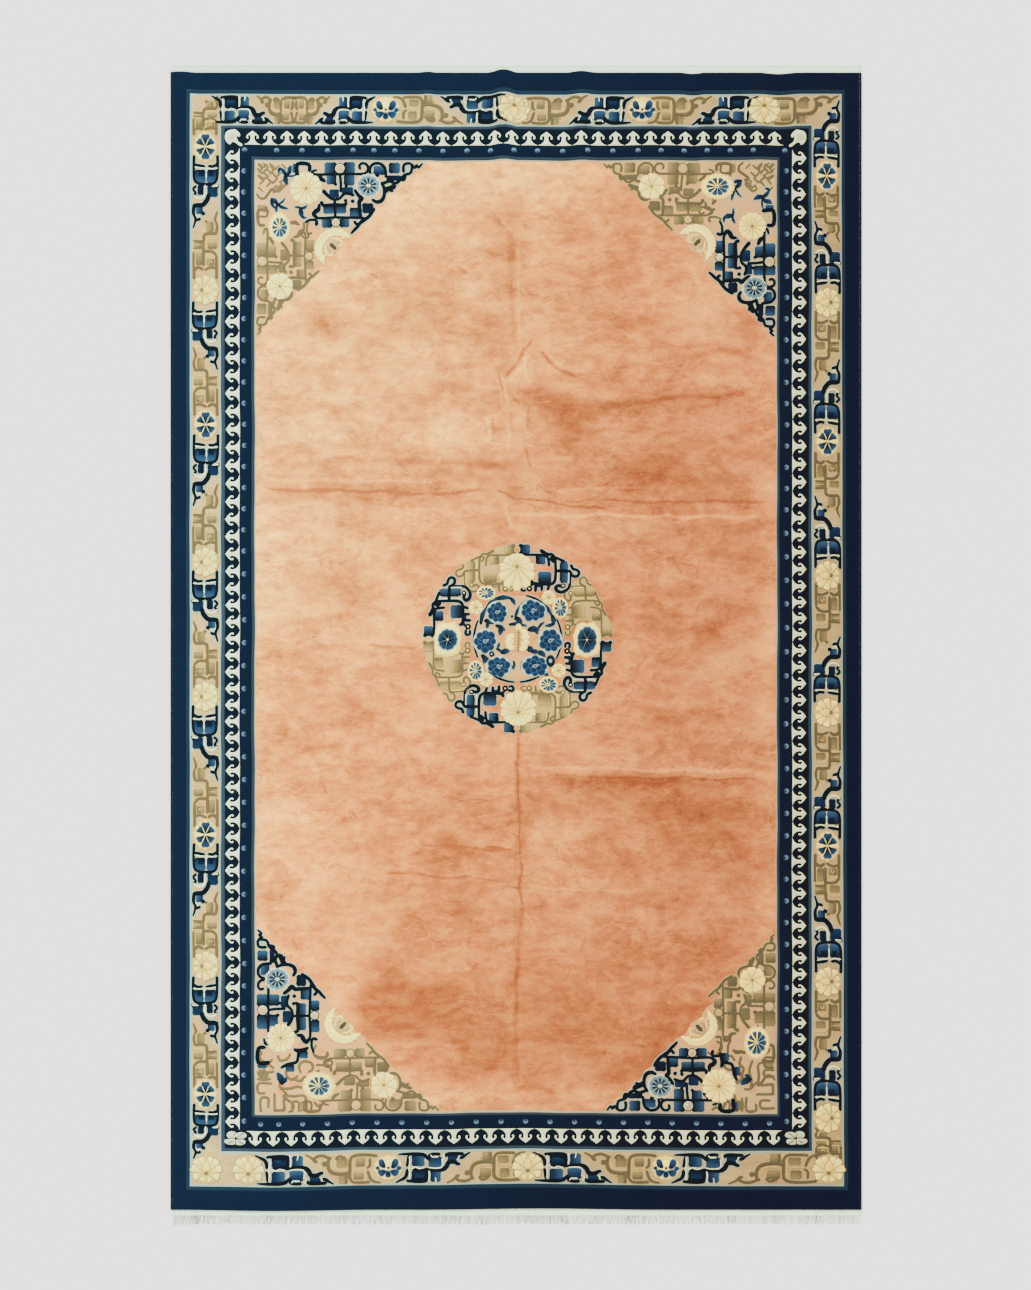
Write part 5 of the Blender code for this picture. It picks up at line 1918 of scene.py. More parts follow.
def halo_flower(drawing, x, y, step, rx, ry, halo_x, halo_y, turn):
    """A small blue flower of broad petals on a ragged cream halo longer than it is wide."""
    drawing.motif(FLOWER_RISE)
    squash = halo_x / halo_y
    petal_ring(
        drawing, x, y, step * halo_y, 13, CREAM, CREAM, LEVEL_UNDER, 0.2, squash, math.pi / 2, 0.0, 1.15,
    )
    petal_ring(
        drawing, x, y, step * halo_y * 0.88, 11, CREAM_LIGHT, CREAM_LIGHT, LEVEL_LINE, 0.0, squash,
        math.pi / 2, 0.0, 1.1,
    )
    squash = rx / ry
    drawing.patch(ellipse(x, y, step * rx * 0.88, step * ry * 0.88), BLUE_PALE, LEVEL_LINE)
    petal_ring(
        drawing, x, y, step * ry, 10, INK, BLUE_LIGHT, LEVEL_FILL, turn, squash, math.pi / 2, 0.08, 0.80,
    )
    drawing.motif(FLOWER_RISE)
    drawing.patch(ellipse(x, y, step * 1.9, step * 1.7, count=12), between(BLUE_PALE, CLOUD, 0.6), LEVEL_TOP)
    drawing.patch(ellipse(x, y, step * 0.7, step * 0.6, count=8), BLUE, LEVEL_DETAIL)


def fill_lower_corner(drawing, corner):
    """Small pink flowers and key frets on the ground of a corner at the lower end."""
    at = corner_half(corner, UNSTRETCHED, False)
    for u, v, radius in PINKS:
        x, y = at(u, v)
        petal_ring(drawing, x, y, radius * PIXEL, 6, between(PINK, TAN, 0.3), PINK, LEVEL_UNDER, 0.4)
    for points in KEYS:
        drawing.patch(ribbon(put_all(at, points), [0.0105, 0.0125, 0.0105]), FAINT, LEVEL_LINE)


def fill_upper_corner(drawing, corner):
    """A faint lattice on the ground of a corner at the upper end, the same on both sides of the diagonal."""
    for mirrored in (False, True):
        at = corner_half(corner, UNSTRETCHED, mirrored)
        for points in LATTICE:
            drawing.patch(ribbon(put_all(at, points), [0.008, 0.011, 0.007]), FAINT, LEVEL_LINE)


def draw_hook(drawing, corner, blue):
    """The blue hook and its leaves, in a corner at the lower end."""

    def beside_halo(u, v):
        return blue(u, v + corner.halo[1] - HOOK_HALO)

    fretwork(drawing, beside_halo, BLUES, HOOK)
    draw_leaves(drawing, beside_halo, HOOK_LEAVES, BLUES)


def draw_corner(drawing, corner):
    blue = corner_half(corner, corner.blue, False)
    tan = corner_half(corner, corner.tan, True)
    straight = corner_half(corner, UNSTRETCHED, False)
    lower = corner.py > MIDDLE_PY
    drawing.motif()
    corner_ground(drawing, corner)
    fill = fill_lower_corner if lower else fill_upper_corner
    fill(drawing, corner)
    drawing.motif()
    for stroke in TENDRILS:
        drawing.patch(stroke_path(straight, stroke, 1.1), TANS.line, LEVEL_LINE)
    draw_corner_half(drawing, tan, TANS)
    draw_corner_half(drawing, blue, BLUES)
    if lower:
        draw_hook(drawing, corner, blue)
    else:
        draw_leaves(drawing, blue, CORNER_LEAVES, BLUES)
    axis = math.atan2(corner.uy + corner.vy, corner.ux + corner.vx)
    palmette(drawing, *straight(*corner.palmette), PIXEL, axis)
    fan_flower(drawing, *straight(*corner.big), corner.big_radius, axis, 12)
    halo_flower(drawing, *straight(*corner.halo), PIXEL, *corner.halo_size, 0.3)
    corner_flower(drawing, *straight(*corner.blue_flower), PIXEL, 0.3)
    fan_flower(drawing, *straight(*corner.tan_flower), 0.052, axis + 0.2, 7)


# ---------------------------------------------------------------- medallion
MEDALLION = (517.3, 638.7)
# One of eight outer fretworks, in photo pixels from the medallion's centre: u to the right, v upwards.
RING_LINES = (
    Stroke((6, 8, 8, 8), ((3.4, 83.6), (14, 83.6), (24, 83.6), (29.4, 82.4), (31, 79), (31.6, 73.4))),
    Stroke(
        (12, 8, 8),
        ((24.0, 88.0), (27.6, 85.8), (31.4, 84.4), (34.6, 84.8), (37.4, 82.0), (42, 80.0), (46.6, 78.0)),
    ),
    Stroke((8, 8, 9, 9, 10), (
        (36.2, 77.0), (33.6, 79.6), (34.6, 82.0), (37.6, 80.0), (38.2, 72), (38.2, 63), (37.0, 57.4),
        (33.4, 54.8),
        (26.0, 54.6), (16.0, 55.2), (14.2, 57.6),
    )),
    Stroke((10, 10), ((40.0, 68.4), (46, 68.2), (52.9, 67.5))),
    Stroke((8, 8, 11, 9), (
        (52.9, 67.5), (52.6, 60.4), (52.2, 53.4), (49.6, 49.4), (44.4, 47.0), (39.8, 48.4), (38.4, 51.6),
        (41.4, 53.6), (46.0, 52.0),
    )),
    Stroke(
        (9, 8, 9, 8),
        (
            (53.8, 73.8), (55.5, 70.2), (59.0, 69.2), (61.6, 66.8), (60.4, 63.2), (56.4, 62.6),
            (54, 65.0), (52.9, 67.5),
        ),
    ),
    Stroke((8, 8), ((16.4, 54.8), (13.2, 53.2))),
    Stroke((8, 8, 7), ((8.6, 51.8), (5.0, 52.2), (3.8, 50.0), (5.0, 47.8), (8.0, 48.0))),
    Stroke((10, 9), ((18.6, 54.4), (18.2, 47.6))),
    Stroke((9, 8), ((24.6, 54.4), (24.4, 48.6))),
    Stroke((9, 8), ((32.2, 54.4), (30.4, 49.4))),
)
RING_BLOCKS = (
    Block("full", 3.0, 12.8, 84.8, 93.8, "+u"),
    Block("full", 18.4, 28.0, 74.4, 83.2, "+u"),
    Block("full", 42.4, 50.6, 56.0, 78.0, "+u"),
    Block("full", 20.6, 34.0, 55.6, 67.2, "+v"),
    Block("deep", 16.8, 25.4, 51.2, 56.4, "-u"),
)
RING_GLOWS = (
    Stroke((5, 5), ((40.4, 56), (40.4, 66))),
    Stroke((5, 5), ((51.4, 56), (51.4, 66))),
    Stroke((5, 5), ((40.4, 70), (40.4, 77))),
)
RING_RINGS = (Ring(12.0, 49.8, 3.0, 6.0), Ring(45.8, 53.4, 2.4, 4.0))
RING_DOTS = ((3.6, 92.8, 8.0), (3.4, 85.2, 8.0), (20.0, 80.0, 8.0))

RING_FRET = Design(RING_LINES, RING_BLOCKS, RING_GLOWS, RING_RINGS, RING_DOTS)

# Outline of the pale ground under one tan fretwork.
SECTOR = (
    (2.4, 84), (2.8, 94), (12.8, 93.6), (25, 89), (37, 83.6), (47, 78), (54, 73.4), (61.4, 68),
    (60, 62.6), (53.6, 52),
    (46, 47), (36, 52), (24, 48), (12, 47.4), (3.6, 50), (16, 58), (18, 70), (10, 80),
)

# The inner wreath: six peonies, leaves and broken ring arcs, from the same centre.
PEONIES = (
    (-20.4, 26.3, 9.6, 10.0), (15.4, 27.6, 12.2, 10.0), (-32.3, -2.8, 10.8, 11.2), (32.8, -1.8, 11.0, 11.2),
    (-18.4, -28.2, 11.4, 9.6), (18.0, -27.6, 12.4, 9.8),
)
WREATH_ARCS = ((2.72, 3.58), (-0.46, 0.46), (0.95, 1.36), (4.00, 4.64), (4.78, 5.24))
WREATH_LEAVES = (
    Leaf(-37, 15, -31, 31, 15), Leaf(-31, 30, -21, 39.6, 15), Leaf(-22, 39.4, -6, 40.4, 17),
    Leaf(-7, 40.6, -2.6, 34, 14),
    Leaf(-2.8, 18.6, 4.2, 34.4, 11), Leaf(4.0, 34.6, 15.6, 37.4, 9), Leaf(24, 35.4, 34.4, 22.6, 15),
    Leaf(34.4, 23.4, 35.6, 14.0, 18),
    Leaf(36, 15.4, 27.4, 13.0, 13), Leaf(-32.4, 17.6, -24.6, 15.4, 21), Leaf(-30.4, 15.0, -31.4, 10.4, 13),
    Leaf(-21.6, 13.0, -13.0, 8.4, 16), Leaf(-17.6, 11.0, -18.0, 4.0, 18), Leaf(-8.4, 14.0, 8.6, 12.4, 14),
    Leaf(0.2, 20.4, 1.4, 12.8, 22),
    Leaf(11.0, 8.6, 21.0, 9.0, 22), Leaf(17.0, 9.0, 19.6, 4.6, 14), Leaf(20.6, 10.6, 26.6, 16.6, 10),
    Leaf(9.6, -9.4, 15.4, -13.4, 22), Leaf(14.4, -13.2, 21.4, -14.0, 17), Leaf(21.0, -13.4, 27.6, -17.6, 21),
    Leaf(-18.4, -4.4, -20.6, -10.4, 9), Leaf(-20.8, -10.2, -15.4, -13.8, 11),
    Leaf(-27.4, -14.6, -23.0, -16.6, 13),
    Leaf(-15.6, -14.0, -8.4, -12.6, 21), Leaf(-35.0, -17.0, -28.4, -26.4, 20),
    Leaf(-34.4, -19.0, -33.4, -25.0, 10),
    Leaf(-8.6, -27.6, -3.4, -30.0, 12), Leaf(-3.4, -22.4, -3.6, -31.0, 9), Leaf(4.4, -23.4, 4.0, -30.0, 9),
    Leaf(-25.0, -34.0, -21.0, -38.0, 11), Leaf(26.0, -33.0, 31.0, -38.6, 15),
    Leaf(-6.2, 22.4, -5.4, 21.2, 14), Leaf(-35.6, 22.4, -33.8, 27.6, 12),
)
WREATH_EYES = ((33.4, -22.0, 4.6, 6.0), (-25.6, -15.4, 2.6, 3.0))
# Small flowers between the two rings: place, half width and half height.
SMALL_BLUE = (
    (-31.0, 45.6, 8.0, 5.6), (42.8, 31.2, 6.2, 9.0), (-41.4, -32.6, 6.4, 9.0), (31.4, -45.8, 8.0, 6.6),
)
SMALL_CREAM = ((-41.6, 31.0), (31.6, 41.4), (41.6, -31.4), (-31.0, -41.0))


def turned(step, quarter, mirrored):
    """Places round the medallion's centre after a number of quarter turns, mirrored for the tan fretworks."""
    x0, y0 = place(*MEDALLION)
    c, s = ((1, 0), (0, -1), (-1, 0), (0, 1))[quarter]
    flip = -1 if mirrored else 1
    return lambda u, v: (x0 + (flip * u * c - v * s) * step, y0 + (flip * u * s + v * c) * step)


def peony(drawing, x, y, rx, ry, turn):
    """A deep blue blossom of crowded round lobes with paler rims, round a pale heart."""
    drawing.motif(FLOWER_RISE)
    drawing.patch(ellipse(x, y, rx * 1.14, ry * 1.14, count=24), between(LINE, CLOUD, 0.4), LEVEL_UNDER)
    rim = between(BLUE, BLUE_LIGHT, 0.8)
    for reach, count, size, level in ((0.70, 8, 0.36, LEVEL_FILL), (0.36, 5, 0.32, LEVEL_TOP)):
        drawing.motif(FLOWER_RISE)
        for k in range(count):
            angle = turn + 2 * math.pi * (k + reach) / count
            swell = 1.0 + 0.16 * math.sin(2.3 * k + turn)
            lobe_x, lobe_y = x + rx * reach * math.cos(angle), y + ry * reach * math.sin(angle)
            lobe = size * swell * (rx + ry) / 2
            drawing.patch(ellipse(lobe_x, lobe_y, lobe, lobe, count=12), rim, level)
            inner = Fade(between(BLUE_DEEP, BLUE, 0.8), INK, lobe_x, lobe_y, x, y)
            drawing.patch(ellipse(lobe_x, lobe_y, lobe * 0.80, lobe * 0.80, count=10), inner, level)
    drawing.patch(ellipse(x, y, rx * 0.22, ry * 0.18, turn), BLUE_PALE, LEVEL_DETAIL)
    glint = ellipse(x + rx * 0.26, y + ry * 0.12, rx * 0.10, ry * 0.10, count=8)
    drawing.patch(glint, BLUE_PALE, LEVEL_DETAIL)
    drawing.patch(ellipse(x, y, rx * 0.11, ry * 0.10), BLUE, LEVEL_DETAIL)


# Petals of the flower in the middle: place, half length, half width and turn.
WING_PETALS = (
    (-7.2, 1.6, 4.6, 3.2, 0.5), (-8.0, -3.0, 4.8, 3.0, 0.0), (-6.8, -8.2, 4.8, 3.0, -0.5),
    (6.6, 6.0, 4.6, 2.8, -0.7),
    (7.8, 1.0, 4.4, 2.8, 0.0), (7.6, -4.4, 4.4, 2.8, 0.2), (6.0, -9.6, 4.4, 2.8, 0.5),
    (0.6, 10.4, 4.0, 3.0, 1.5),
)


def middle_flower(drawing, at):
    """A cream flower seen from its side, its petals in two wings beside a tan stem."""
    drawing.motif(FLOWER_RISE)
    for u, v, length, width, turn in WING_PETALS:
        x, y = at(u, v)
        rim = ellipse(x, y, (length + 0.5) * PIXEL, (width + 0.5) * PIXEL, turn)
        drawing.patch(rim, CREAM_SHADE, LEVEL_UNDER)
    for u, v, length, width, turn in WING_PETALS:
        x, y = at(u, v)
        outline = ellipse(x, y, length * PIXEL, width * PIXEL, turn)
        drawing.patch(outline, Fade(CREAM, CREAM_LIGHT, *at(0, v), x, y), LEVEL_LINE)
    stem = put_all(at, ((0.4, 8.6), (0.9, 0), (0.6, -14)))
    drawing.patch(ribbon(stem, [0.010, 0.008, 0.004]), STRAW, LEVEL_FILL)
    for v in np.linspace(6, -12, 7):
        drawing.patch(ellipse(*at(0.8, v), 0.0045, 0.0040, count=8), TAN, LEVEL_TOP)


def squarish(x, y, rx, ry):
    """A ragged outline between an ellipse and a square."""
    count = 28
    points = []
    for k in range(count):
        a = 2 * math.pi * k / count
        c, s = math.cos(a), math.sin(a)
        rag = 1.0 + 0.05 * math.sin(7 * a) + 0.03 * math.sin(11 * a + 1)
        size = rag / (abs(c) ** 3.2 + abs(s) ** 3.2) ** (1 / 3.2)
        points.append((x + rx * c * size, y + ry * s * size))
    return points


def ring_flower(drawing, x, y, step, rx, ry, turn):
    """A large blue flower of six wedge petals parted by fine pale lines, on a ragged cream square."""
    drawing.motif(FLOWER_RISE)
    drawing.patch(squarish(x, y, step * 13.6, step * 17.4), CREAM, LEVEL_UNDER)
    drawing.patch(squarish(x, y, step * 12.2, step * 15.6), CREAM_LIGHT, LEVEL_LINE)
    squash = rx / ry
    petal_ring(
        drawing, x, y, step * (ry + 1.3), 6, BLUE_PALE, BLUE_PALE, LEVEL_LINE, turn, squash, math.pi / 2,
        0.0, 1.16,
    )
    drawing.patch(ellipse(x, y, step * rx * 0.72, step * ry * 0.72), BLUE_DEEP, LEVEL_FILL)
    petal_ring(
        drawing, x, y, step * ry, 6, INK, between(BLUE, BLUE_LIGHT, 0.4), LEVEL_FILL, turn, squash,
        math.pi / 2, 0.0, 1.10,
    )
    for k in range(6):
        angle = turn + math.pi * (k + 0.5) / 3
        path = [ray(x, y, angle, r, squash, math.pi / 2) for r in (step * 0.4, step * ry * 0.82)]
        drawing.patch(ribbon(path, [step * 0.45, step * 0.22]), between(BLUE_PALE, LINE, 0.5), LEVEL_TOP)
    drawing.patch(ellipse(x, y, step * 0.9, step * 0.9, count=10), CLOUD, LEVEL_DETAIL)


def draw_wreath(drawing, at):
    drawing.motif()
    ground = [at(43.0 * math.cos(a), 43.0 * math.sin(a)) for a in np.linspace(0, 2 * math.pi, 49)[:-1]]
    drawing.patch(ground, between(CORNER_GROUND, PINK, 0.35), LEVEL_GROUND)
    heart = [
        at((20 + 4 * math.sin(5 * a)) * math.cos(a), (17 + 4 * math.sin(5 * a)) * math.sin(a))
        for a in np.linspace(0, 2 * math.pi, 41)[:-1]
    ]
    drawing.patch(heart, PINK, LEVEL_UNDER)
    drawing.motif()
    for a0, a1 in WREATH_ARCS:
        path = [at(43.7 * math.cos(a), 43.7 * math.sin(a)) for a in np.linspace(a0, a1, 9)]
        drawing.patch(ribbon(path, [0.012, 0.016, 0.012], 2), LINE, LEVEL_UNDER)
        drawing.patch(ribbon(path, [0.007, 0.010, 0.007], 2), INK, LEVEL_TOP)
    leaves = [leaf._replace(width=leaf.width * 1.25) for leaf in WREATH_LEAVES]
    draw_leaves(drawing, at, leaves, WREATH, 0.004)
    for k, (u, v, rx, ry) in enumerate(PEONIES):
        peony(drawing, *at(u, v), rx * PIXEL, ry * PIXEL, k * 1.3)
    for u, v, rx, ry in WREATH_EYES:
        x, y = at(u, v)
        drawing.patch(ellipse(x, y, rx * PIXEL, ry * PIXEL), BLUE_DEEP, LEVEL_TOP)
        drawing.patch(ellipse(x, y, rx * PIXEL * 0.36, ry * PIXEL * 0.36), LINE, LEVEL_DETAIL)
    middle_flower(drawing, at)


def draw_medallion(drawing):
    for quarter in range(4):
        at = turned(PIXEL, quarter, True)
        drawing.motif()
        drawing.patch(put_all(at, rounded(SECTOR, 2)), between(CREAM_SHADE, GROUND, 0.55), LEVEL_GROUND)
        fretwork(drawing, at, TANS_SOFT, RING_FRET, 0.75)
    for quarter in range(4):
        fretwork(drawing, turned(PIXEL, quarter, False), BLUES, RING_FRET)
    at = turned(PIXEL, 0, False)
    draw_wreath(drawing, at)
    for u, v in SMALL_CREAM:
        fan_flower(drawing, *at(u, v), 0.028, 0.4, 7)
    for k, (u, v, rx, ry) in enumerate(SMALL_BLUE):
        halo_flower(drawing, *at(u, v), PIXEL, rx, ry, rx + 2.0, ry + 2.0, 0.4 * k)
    fan_flower(drawing, *at(-0.3, 66.4), 0.071, math.pi / 2, 12, 1.05, 0.30)
    fan_flower(drawing, *at(1.3, -69.6), 0.071, math.pi / 2, 12, 1.0, -0.24)
    ring_flower(drawing, *at(-70.0, -0.4), PIXEL, 9.6, 10.4, 0.3)
    ring_flower(drawing, *at(69.4, -1.0), PIXEL, 9.6, 13.0, 0.0)


# ---------------------------------------------------------------- main border layout
# Frets: which palette, where the full end and the tip lie along the border, and which edge of the border
# the tip touches: out is the carpet's outer side and in is the field's side.
Fret = namedtuple("Fret", "palette full tip edge")
Flower = namedtuple("Flower", "kind at")
TOP_FRETS = (
    Fret("blue", 214, 273, "in"), Fret("tan", 294, 256, "out"), Fret("tan", 294, 330, "out"),
    Fret("blue", 372, 315, "in"), Fret("tan", 400, 464, "in"), Fret("blue", 504, 440, "out"),
    Fret("tan", 529, 588, "out"), Fret("blue", 630, 569, "in"), Fret("tan", 654, 712, "out"),
    Fret("blue", 755, 692, "in"), Fret("tan", 771, 840, "out"),
)
TOP_FLOWERS = (
    Flower("blue", 385.5), Flower("cream", 514), Flower("blue", 642), Flower("cream", 764),
)
BOTTOM_FRETS = (
    Fret("blue", 258, 334, "out"), Fret("tan", 373, 304, "in"), Fret("blue", 399, 470, "in"),
    Fret("tan", 518, 446, "out"), Fret("blue", 536, 612, "out"), Fret("tan", 652, 583, "in"),
    Fret("blue", 675, 750, "in"), Fret("tan", 812, 727, "out"),
)
BOTTOM_FLOWERS = (
    Flower("cream", 206), Flower("cream", 248), Flower("blue", 388), Flower("cream", 527.5),
    Flower("blue", 665.7), Flower("cream", 828),
)
RIGHT_FRETS = (
    Fret("blue", 165, 102, "out"), Fret("tan", 188, 241, "out"), Fret("blue", 291, 223, "in"),
    Fret("tan", 314, 381, "in"), Fret("blue", 431, 361, "out"), Fret("tan", 455, 516, "out"),
    Fret("blue", 566, 498, "in"), Fret("tan", 586, 652, "in"), Fret("blue", 700, 638, "out"),
    Fret("tan", 726, 790, "in"), Fret("blue", 836, 768, "out"), Fret("tan", 857, 924, "out"),
    Fret("blue", 970, 898, "in"), Fret("tan", 993, 1060, "in"), Fret("blue", 1108, 1038, "out"),
    Fret("tan", 1157, 1128, "in"),
)
RIGHT_FLOWERS = (
    Flower("blue", 176), Flower("cream", 302.5), Flower("blue", 441.5), Flower("cream", 575.6),
    Flower("cream", 712.6), Flower("blue", 846), Flower("cream", 981.6), Flower("cream", 1118),
)
LEFT_FRETS = (
    Fret("tan", 133, 96, "in"), Fret("blue", 158, 226, "out"), Fret("tan", 276, 212, "in"),
    Fret("blue", 304, 368, "in"), Fret("tan", 413, 348, "out"), Fret("blue", 437, 504, "out"),
    Fret("tan", 551, 485, "in"), Fret("blue", 573, 640, "in"), Fret("tan", 685, 622, "out"),
    Fret("blue", 708, 779, "in"), Fret("tan", 824, 758, "out"), Fret("blue", 846, 914, "out"),
    Fret("tan", 955, 893, "in"), Fret("blue", 979, 1042, "in"), Fret("tan", 1085, 1024, "out"),
    Fret("blue", 1106, 1157, "out"),
)
LEFT_FLOWERS = (
    Flower("blue", 146.6), Flower("cream", 290), Flower("blue", 424.6), Flower("cream", 562),
    Flower("cream", 696.6), Flower("blue", 834.7), Flower("cream", 966), Flower("blue", 1094),
)


# Radii of the cream flowers.
END_CREAM = 0.0600
SIDE_CREAM = 0.0560

# Each side of the border: its outer and inner edge, in photo pixels, and the turn of its cream flowers.
Side = namedtuple("Side", "name frets flowers outer inner upright axis")
SIDES = (
    Side("border_top", TOP_FRETS, TOP_FLOWERS, 95.6, 123.0, True, 0.0),
    Side("border_bottom", BOTTOM_FRETS, BOTTOM_FLOWERS, 1184.0, 1154.2, True, math.pi),
    Side("border_left", LEFT_FRETS, LEFT_FLOWERS, 192.4, 218.3, False, math.pi / 2),
    Side("border_right", RIGHT_FRETS, RIGHT_FLOWERS, 840.8, 814.0, False, -math.pi / 2),
)


def border_side(drawing, frets, flowers, outer, inner, upright, axis):
    """The frets and flowers of one side, between the border's outer and inner edge."""
    designs = END_FRETS if upright else SIDE_FRETS
    for f in frets:
        base, far = (outer, inner) if f.edge == "out" else (inner, outer)
        if upright:
            x, y = place(f.full, base)
            step = (base - far) / END_HEIGHT * PIXEL
            at = spot(x, y, (f.tip - f.full) / FRET_LENGTH * PIXEL, 0.0, 0.0, step)
        else:
            x, y = place(base, f.full)
            step = (far - base) / SIDE_HEIGHT * PIXEL
            at = spot(x, y, 0.0, (f.full - f.tip) / FRET_LENGTH * PIXEL, step, 0.0)
        fretwork(drawing, at, PALETTES[f.palette], designs[f.palette])
    middle = (outer + inner) / 2
    for f in flowers:
        x, y = place(f.at, middle) if upright else place(middle, f.at)
        if f.kind == "cream":
            cream_flower(drawing, x, y, END_CREAM if upright else SIDE_CREAM, axis)
        elif upright:
            butterfly_flower(drawing, x, y, PIXEL)
        else:
            side_flower(drawing, x, y, PIXEL)


def draw_main_border(pile):
    pieces = []
    for name, *side in SIDES:
        drawing = Drawing(name)
        border_side(drawing, *side)
        pieces.append(drawing.finished(pile))
    return pieces


# ---------------------------------------------------------------- sides, ends and fringe
COTTON = dye((212, 252, 212), (222, 252, 205))
COTTON_BRIGHT = dye((228, 250, 215), (236, 250, 215))
# the cotton in painted shade, for shaded fringe strands and the clipped end's shaded edge
COTTON_SHADE = dye((120, 141, 122), (120, 138, 116))
CORD_TURN = 0.005  # one turn of the overcast yarn
CORD_SIDES = 8  # points round the yarn
CORD_STEPS = 3  # rings of points to a turn
STRIP_POINTS = 301  # points across a woven end
WEFT_RIB = 0.0029  # from one rib of a woven end to the next
STRANDS = 760  # strands in the fringe
STRAND_SIDES = 4


def shades(dye_pair, x, y=0.0):
    side = side_share(x, y)[:, None]
    return dye_pair.left * (1 - side) + dye_pair.right * side


def make_cord(name, side, material):
    """Yarn wrapped round the edge warps, one slanting turn beside the other."""
    sides = CORD_SIDES
    low = PILE_BOTTOM - float(wave(BOTTOM_WAVES, np.array(side * HALF_BODY)))
    high = PILE_TOP + float(wave(TOP_WAVES, np.array(side * HALF_BODY)))
    rings = int((high - low) / CORD_TURN * CORD_STEPS)
    ring, step = np.meshgrid(np.arange(rings + 1), np.arange(sides), indexing="ij")
    angle = 2 * math.pi * (step + 0.5) / sides
    phase = ring / CORD_STEPS + step / sides * 0.8
    swell = 1.0 - 0.16 * np.abs(np.cos(math.pi * phase)) ** 3
    x = side * (WIDTH - CORD_WIDTH) / 2 + CORD_WIDTH / 2 * swell * np.cos(angle)
    y = low + (high - low) * ring / rings
    z = CORD_HEIGHT / 2 * (1 + swell * np.sin(angle))
    x, y, z = (a.ravel() for a in (x, y, z))
    faces = []
    for r in range(rings):
        for k in range(sides):
            m = (k + 1) % sides
            faces.append((r * sides + k, (r + 1) * sides + k, (r + 1) * sides + m, r * sides + m))
    faces.append(tuple(range(sides)))
    faces.append(tuple(rings * sides + k for k in reversed(range(sides))))
    # The quarter of each turn next to its dip is drawn darker: painted shade in the groove between the turns.
    colours = shades(NAVY, x, y) * (0.75 + 0.5 * ((phase.ravel() % 1.0) > 0.25))[:, None]
    return make_mesh(name, np.stack([x, y, z], axis=1), faces, colours, [material])


def strip_mesh(name, near, far, shade_at, material):
    """A flat-woven strip: weft ribs between its two edges, with warps standing between them."""
    half = WIDTH / 2 - STRIP_INSET
    across = np.linspace(-half, half, STRIP_POINTS)
    rows = max(4, round(abs(float(np.mean(far(across) - near(across)))) / WEFT_RIB))
    share = np.linspace(0, 1, rows * 3 + 1)
    s, x = np.meshgrid(share, across, indexing="ij")
    y = near(x) * (1 - s) + far(x) * s
    rise = np.abs(np.sin(math.pi * s * rows)) ** 0.7
    z = STRIP_THICKNESS * (0.72 + 0.28 * rise) * ease(np.minimum(s, 1 - s) * 14 + 0.35)
    z = z + 0.0004 * np.sin(x * 61.0) * ease(np.minimum(s, 1 - s) * 6)
    top = np.stack([x.ravel(), y.ravel(), z.ravel()], axis=1)
    under = top * (1, 1, 0)
    faces = grid_faces(len(across), len(share))
    rim = grid_rim(len(across), len(share))
    base = len(top)
    around = len(rim)
    low = under[rim]
    for k in range(around):
        m = (k + 1) % around
        faces.append((rim[m], rim[k], base + k, base + m))
    faces.append(tuple(base + k for k in reversed(range(around))))
    if near(np.array([0.0]))[0] > far(np.array([0.0]))[0]:
        faces = [tuple(reversed(f)) for f in faces]
    points = np.concatenate([top, low])
    colours = shade_at(points[:, 0], np.concatenate([s.ravel(), s.ravel()[rim]]))
    return make_mesh(name, points, faces, colours, [material])


def top_edge(x):
    return PILE_TOP + wave(TOP_WAVES, x)


def bottom_edge(x):
    return PILE_BOTTOM - wave(BOTTOM_WAVES, x)


def make_top_end(material):
    """The woven end whose warps were clipped off straight: ribs, and painted shade along its outer edge where
    the stubs of the cut warps start.
    """

    def shade_at(x, s):
        bright = ease((0.25 - s) / 0.2)[:, None]
        # painted shade along the outer edge, where the cut warps' stubs start
        grey = (ease((s - 0.78) / 0.15) * 0.45)[:, None]
        colour = shades(COTTON, x) * (1 - bright) + shades(COTTON_BRIGHT, x) * bright
        return colour * (1 - grey) + shades(COTTON_SHADE, x) * grey

    def near(x):
        return top_edge(x) + GAP

    def far(x):
        return np.full_like(x, TOTAL_LENGTH / 2 - 0.0022)

    return strip_mesh("woven_end_clipped", near, far, shade_at, material)


def make_bottom_end(material):
    """The woven end that the fringe leaves: ribs, brightest where they meet the pile."""

    def shade_at(x, s):
        bright = ease((0.30 - s) / 0.2)[:, None]
        return shades(COTTON, x) * (1 - bright) + shades(COTTON_BRIGHT, x) * bright

    def near(x):
        return bottom_edge(x) - GAP

    def far(x):
        return np.full_like(x, STRIP_Y)

    return strip_mesh("woven_end_bottom", near, far, shade_at, material)


def add_strand(points, colours, faces, path, radii, colour):
    """A thin tapering strand, slightly flattened, along a path of (x, y, z) points."""
    sides = STRAND_SIDES
    base = len(points)
    for (x, y, z), r in zip(path, radii):
        for k in range(sides):
            a = 2 * math.pi * (k + 0.5) / sides
            points.append((x + r * math.cos(a), y, z + r * 0.8 * math.sin(a)))
            colours.append(colour)
    for j in range(len(path) - 1):
        for k in range(sides):
            m = (k + 1) % sides
            a, b = base + j * sides, base + (j + 1) * sides
            faces.append((a + k, a + m, b + m, b + k))
    faces.append(tuple(base + k for k in reversed(range(sides))))
    last = base + (len(path) - 1) * sides
    faces.append(tuple(last + k for k in range(sides)))


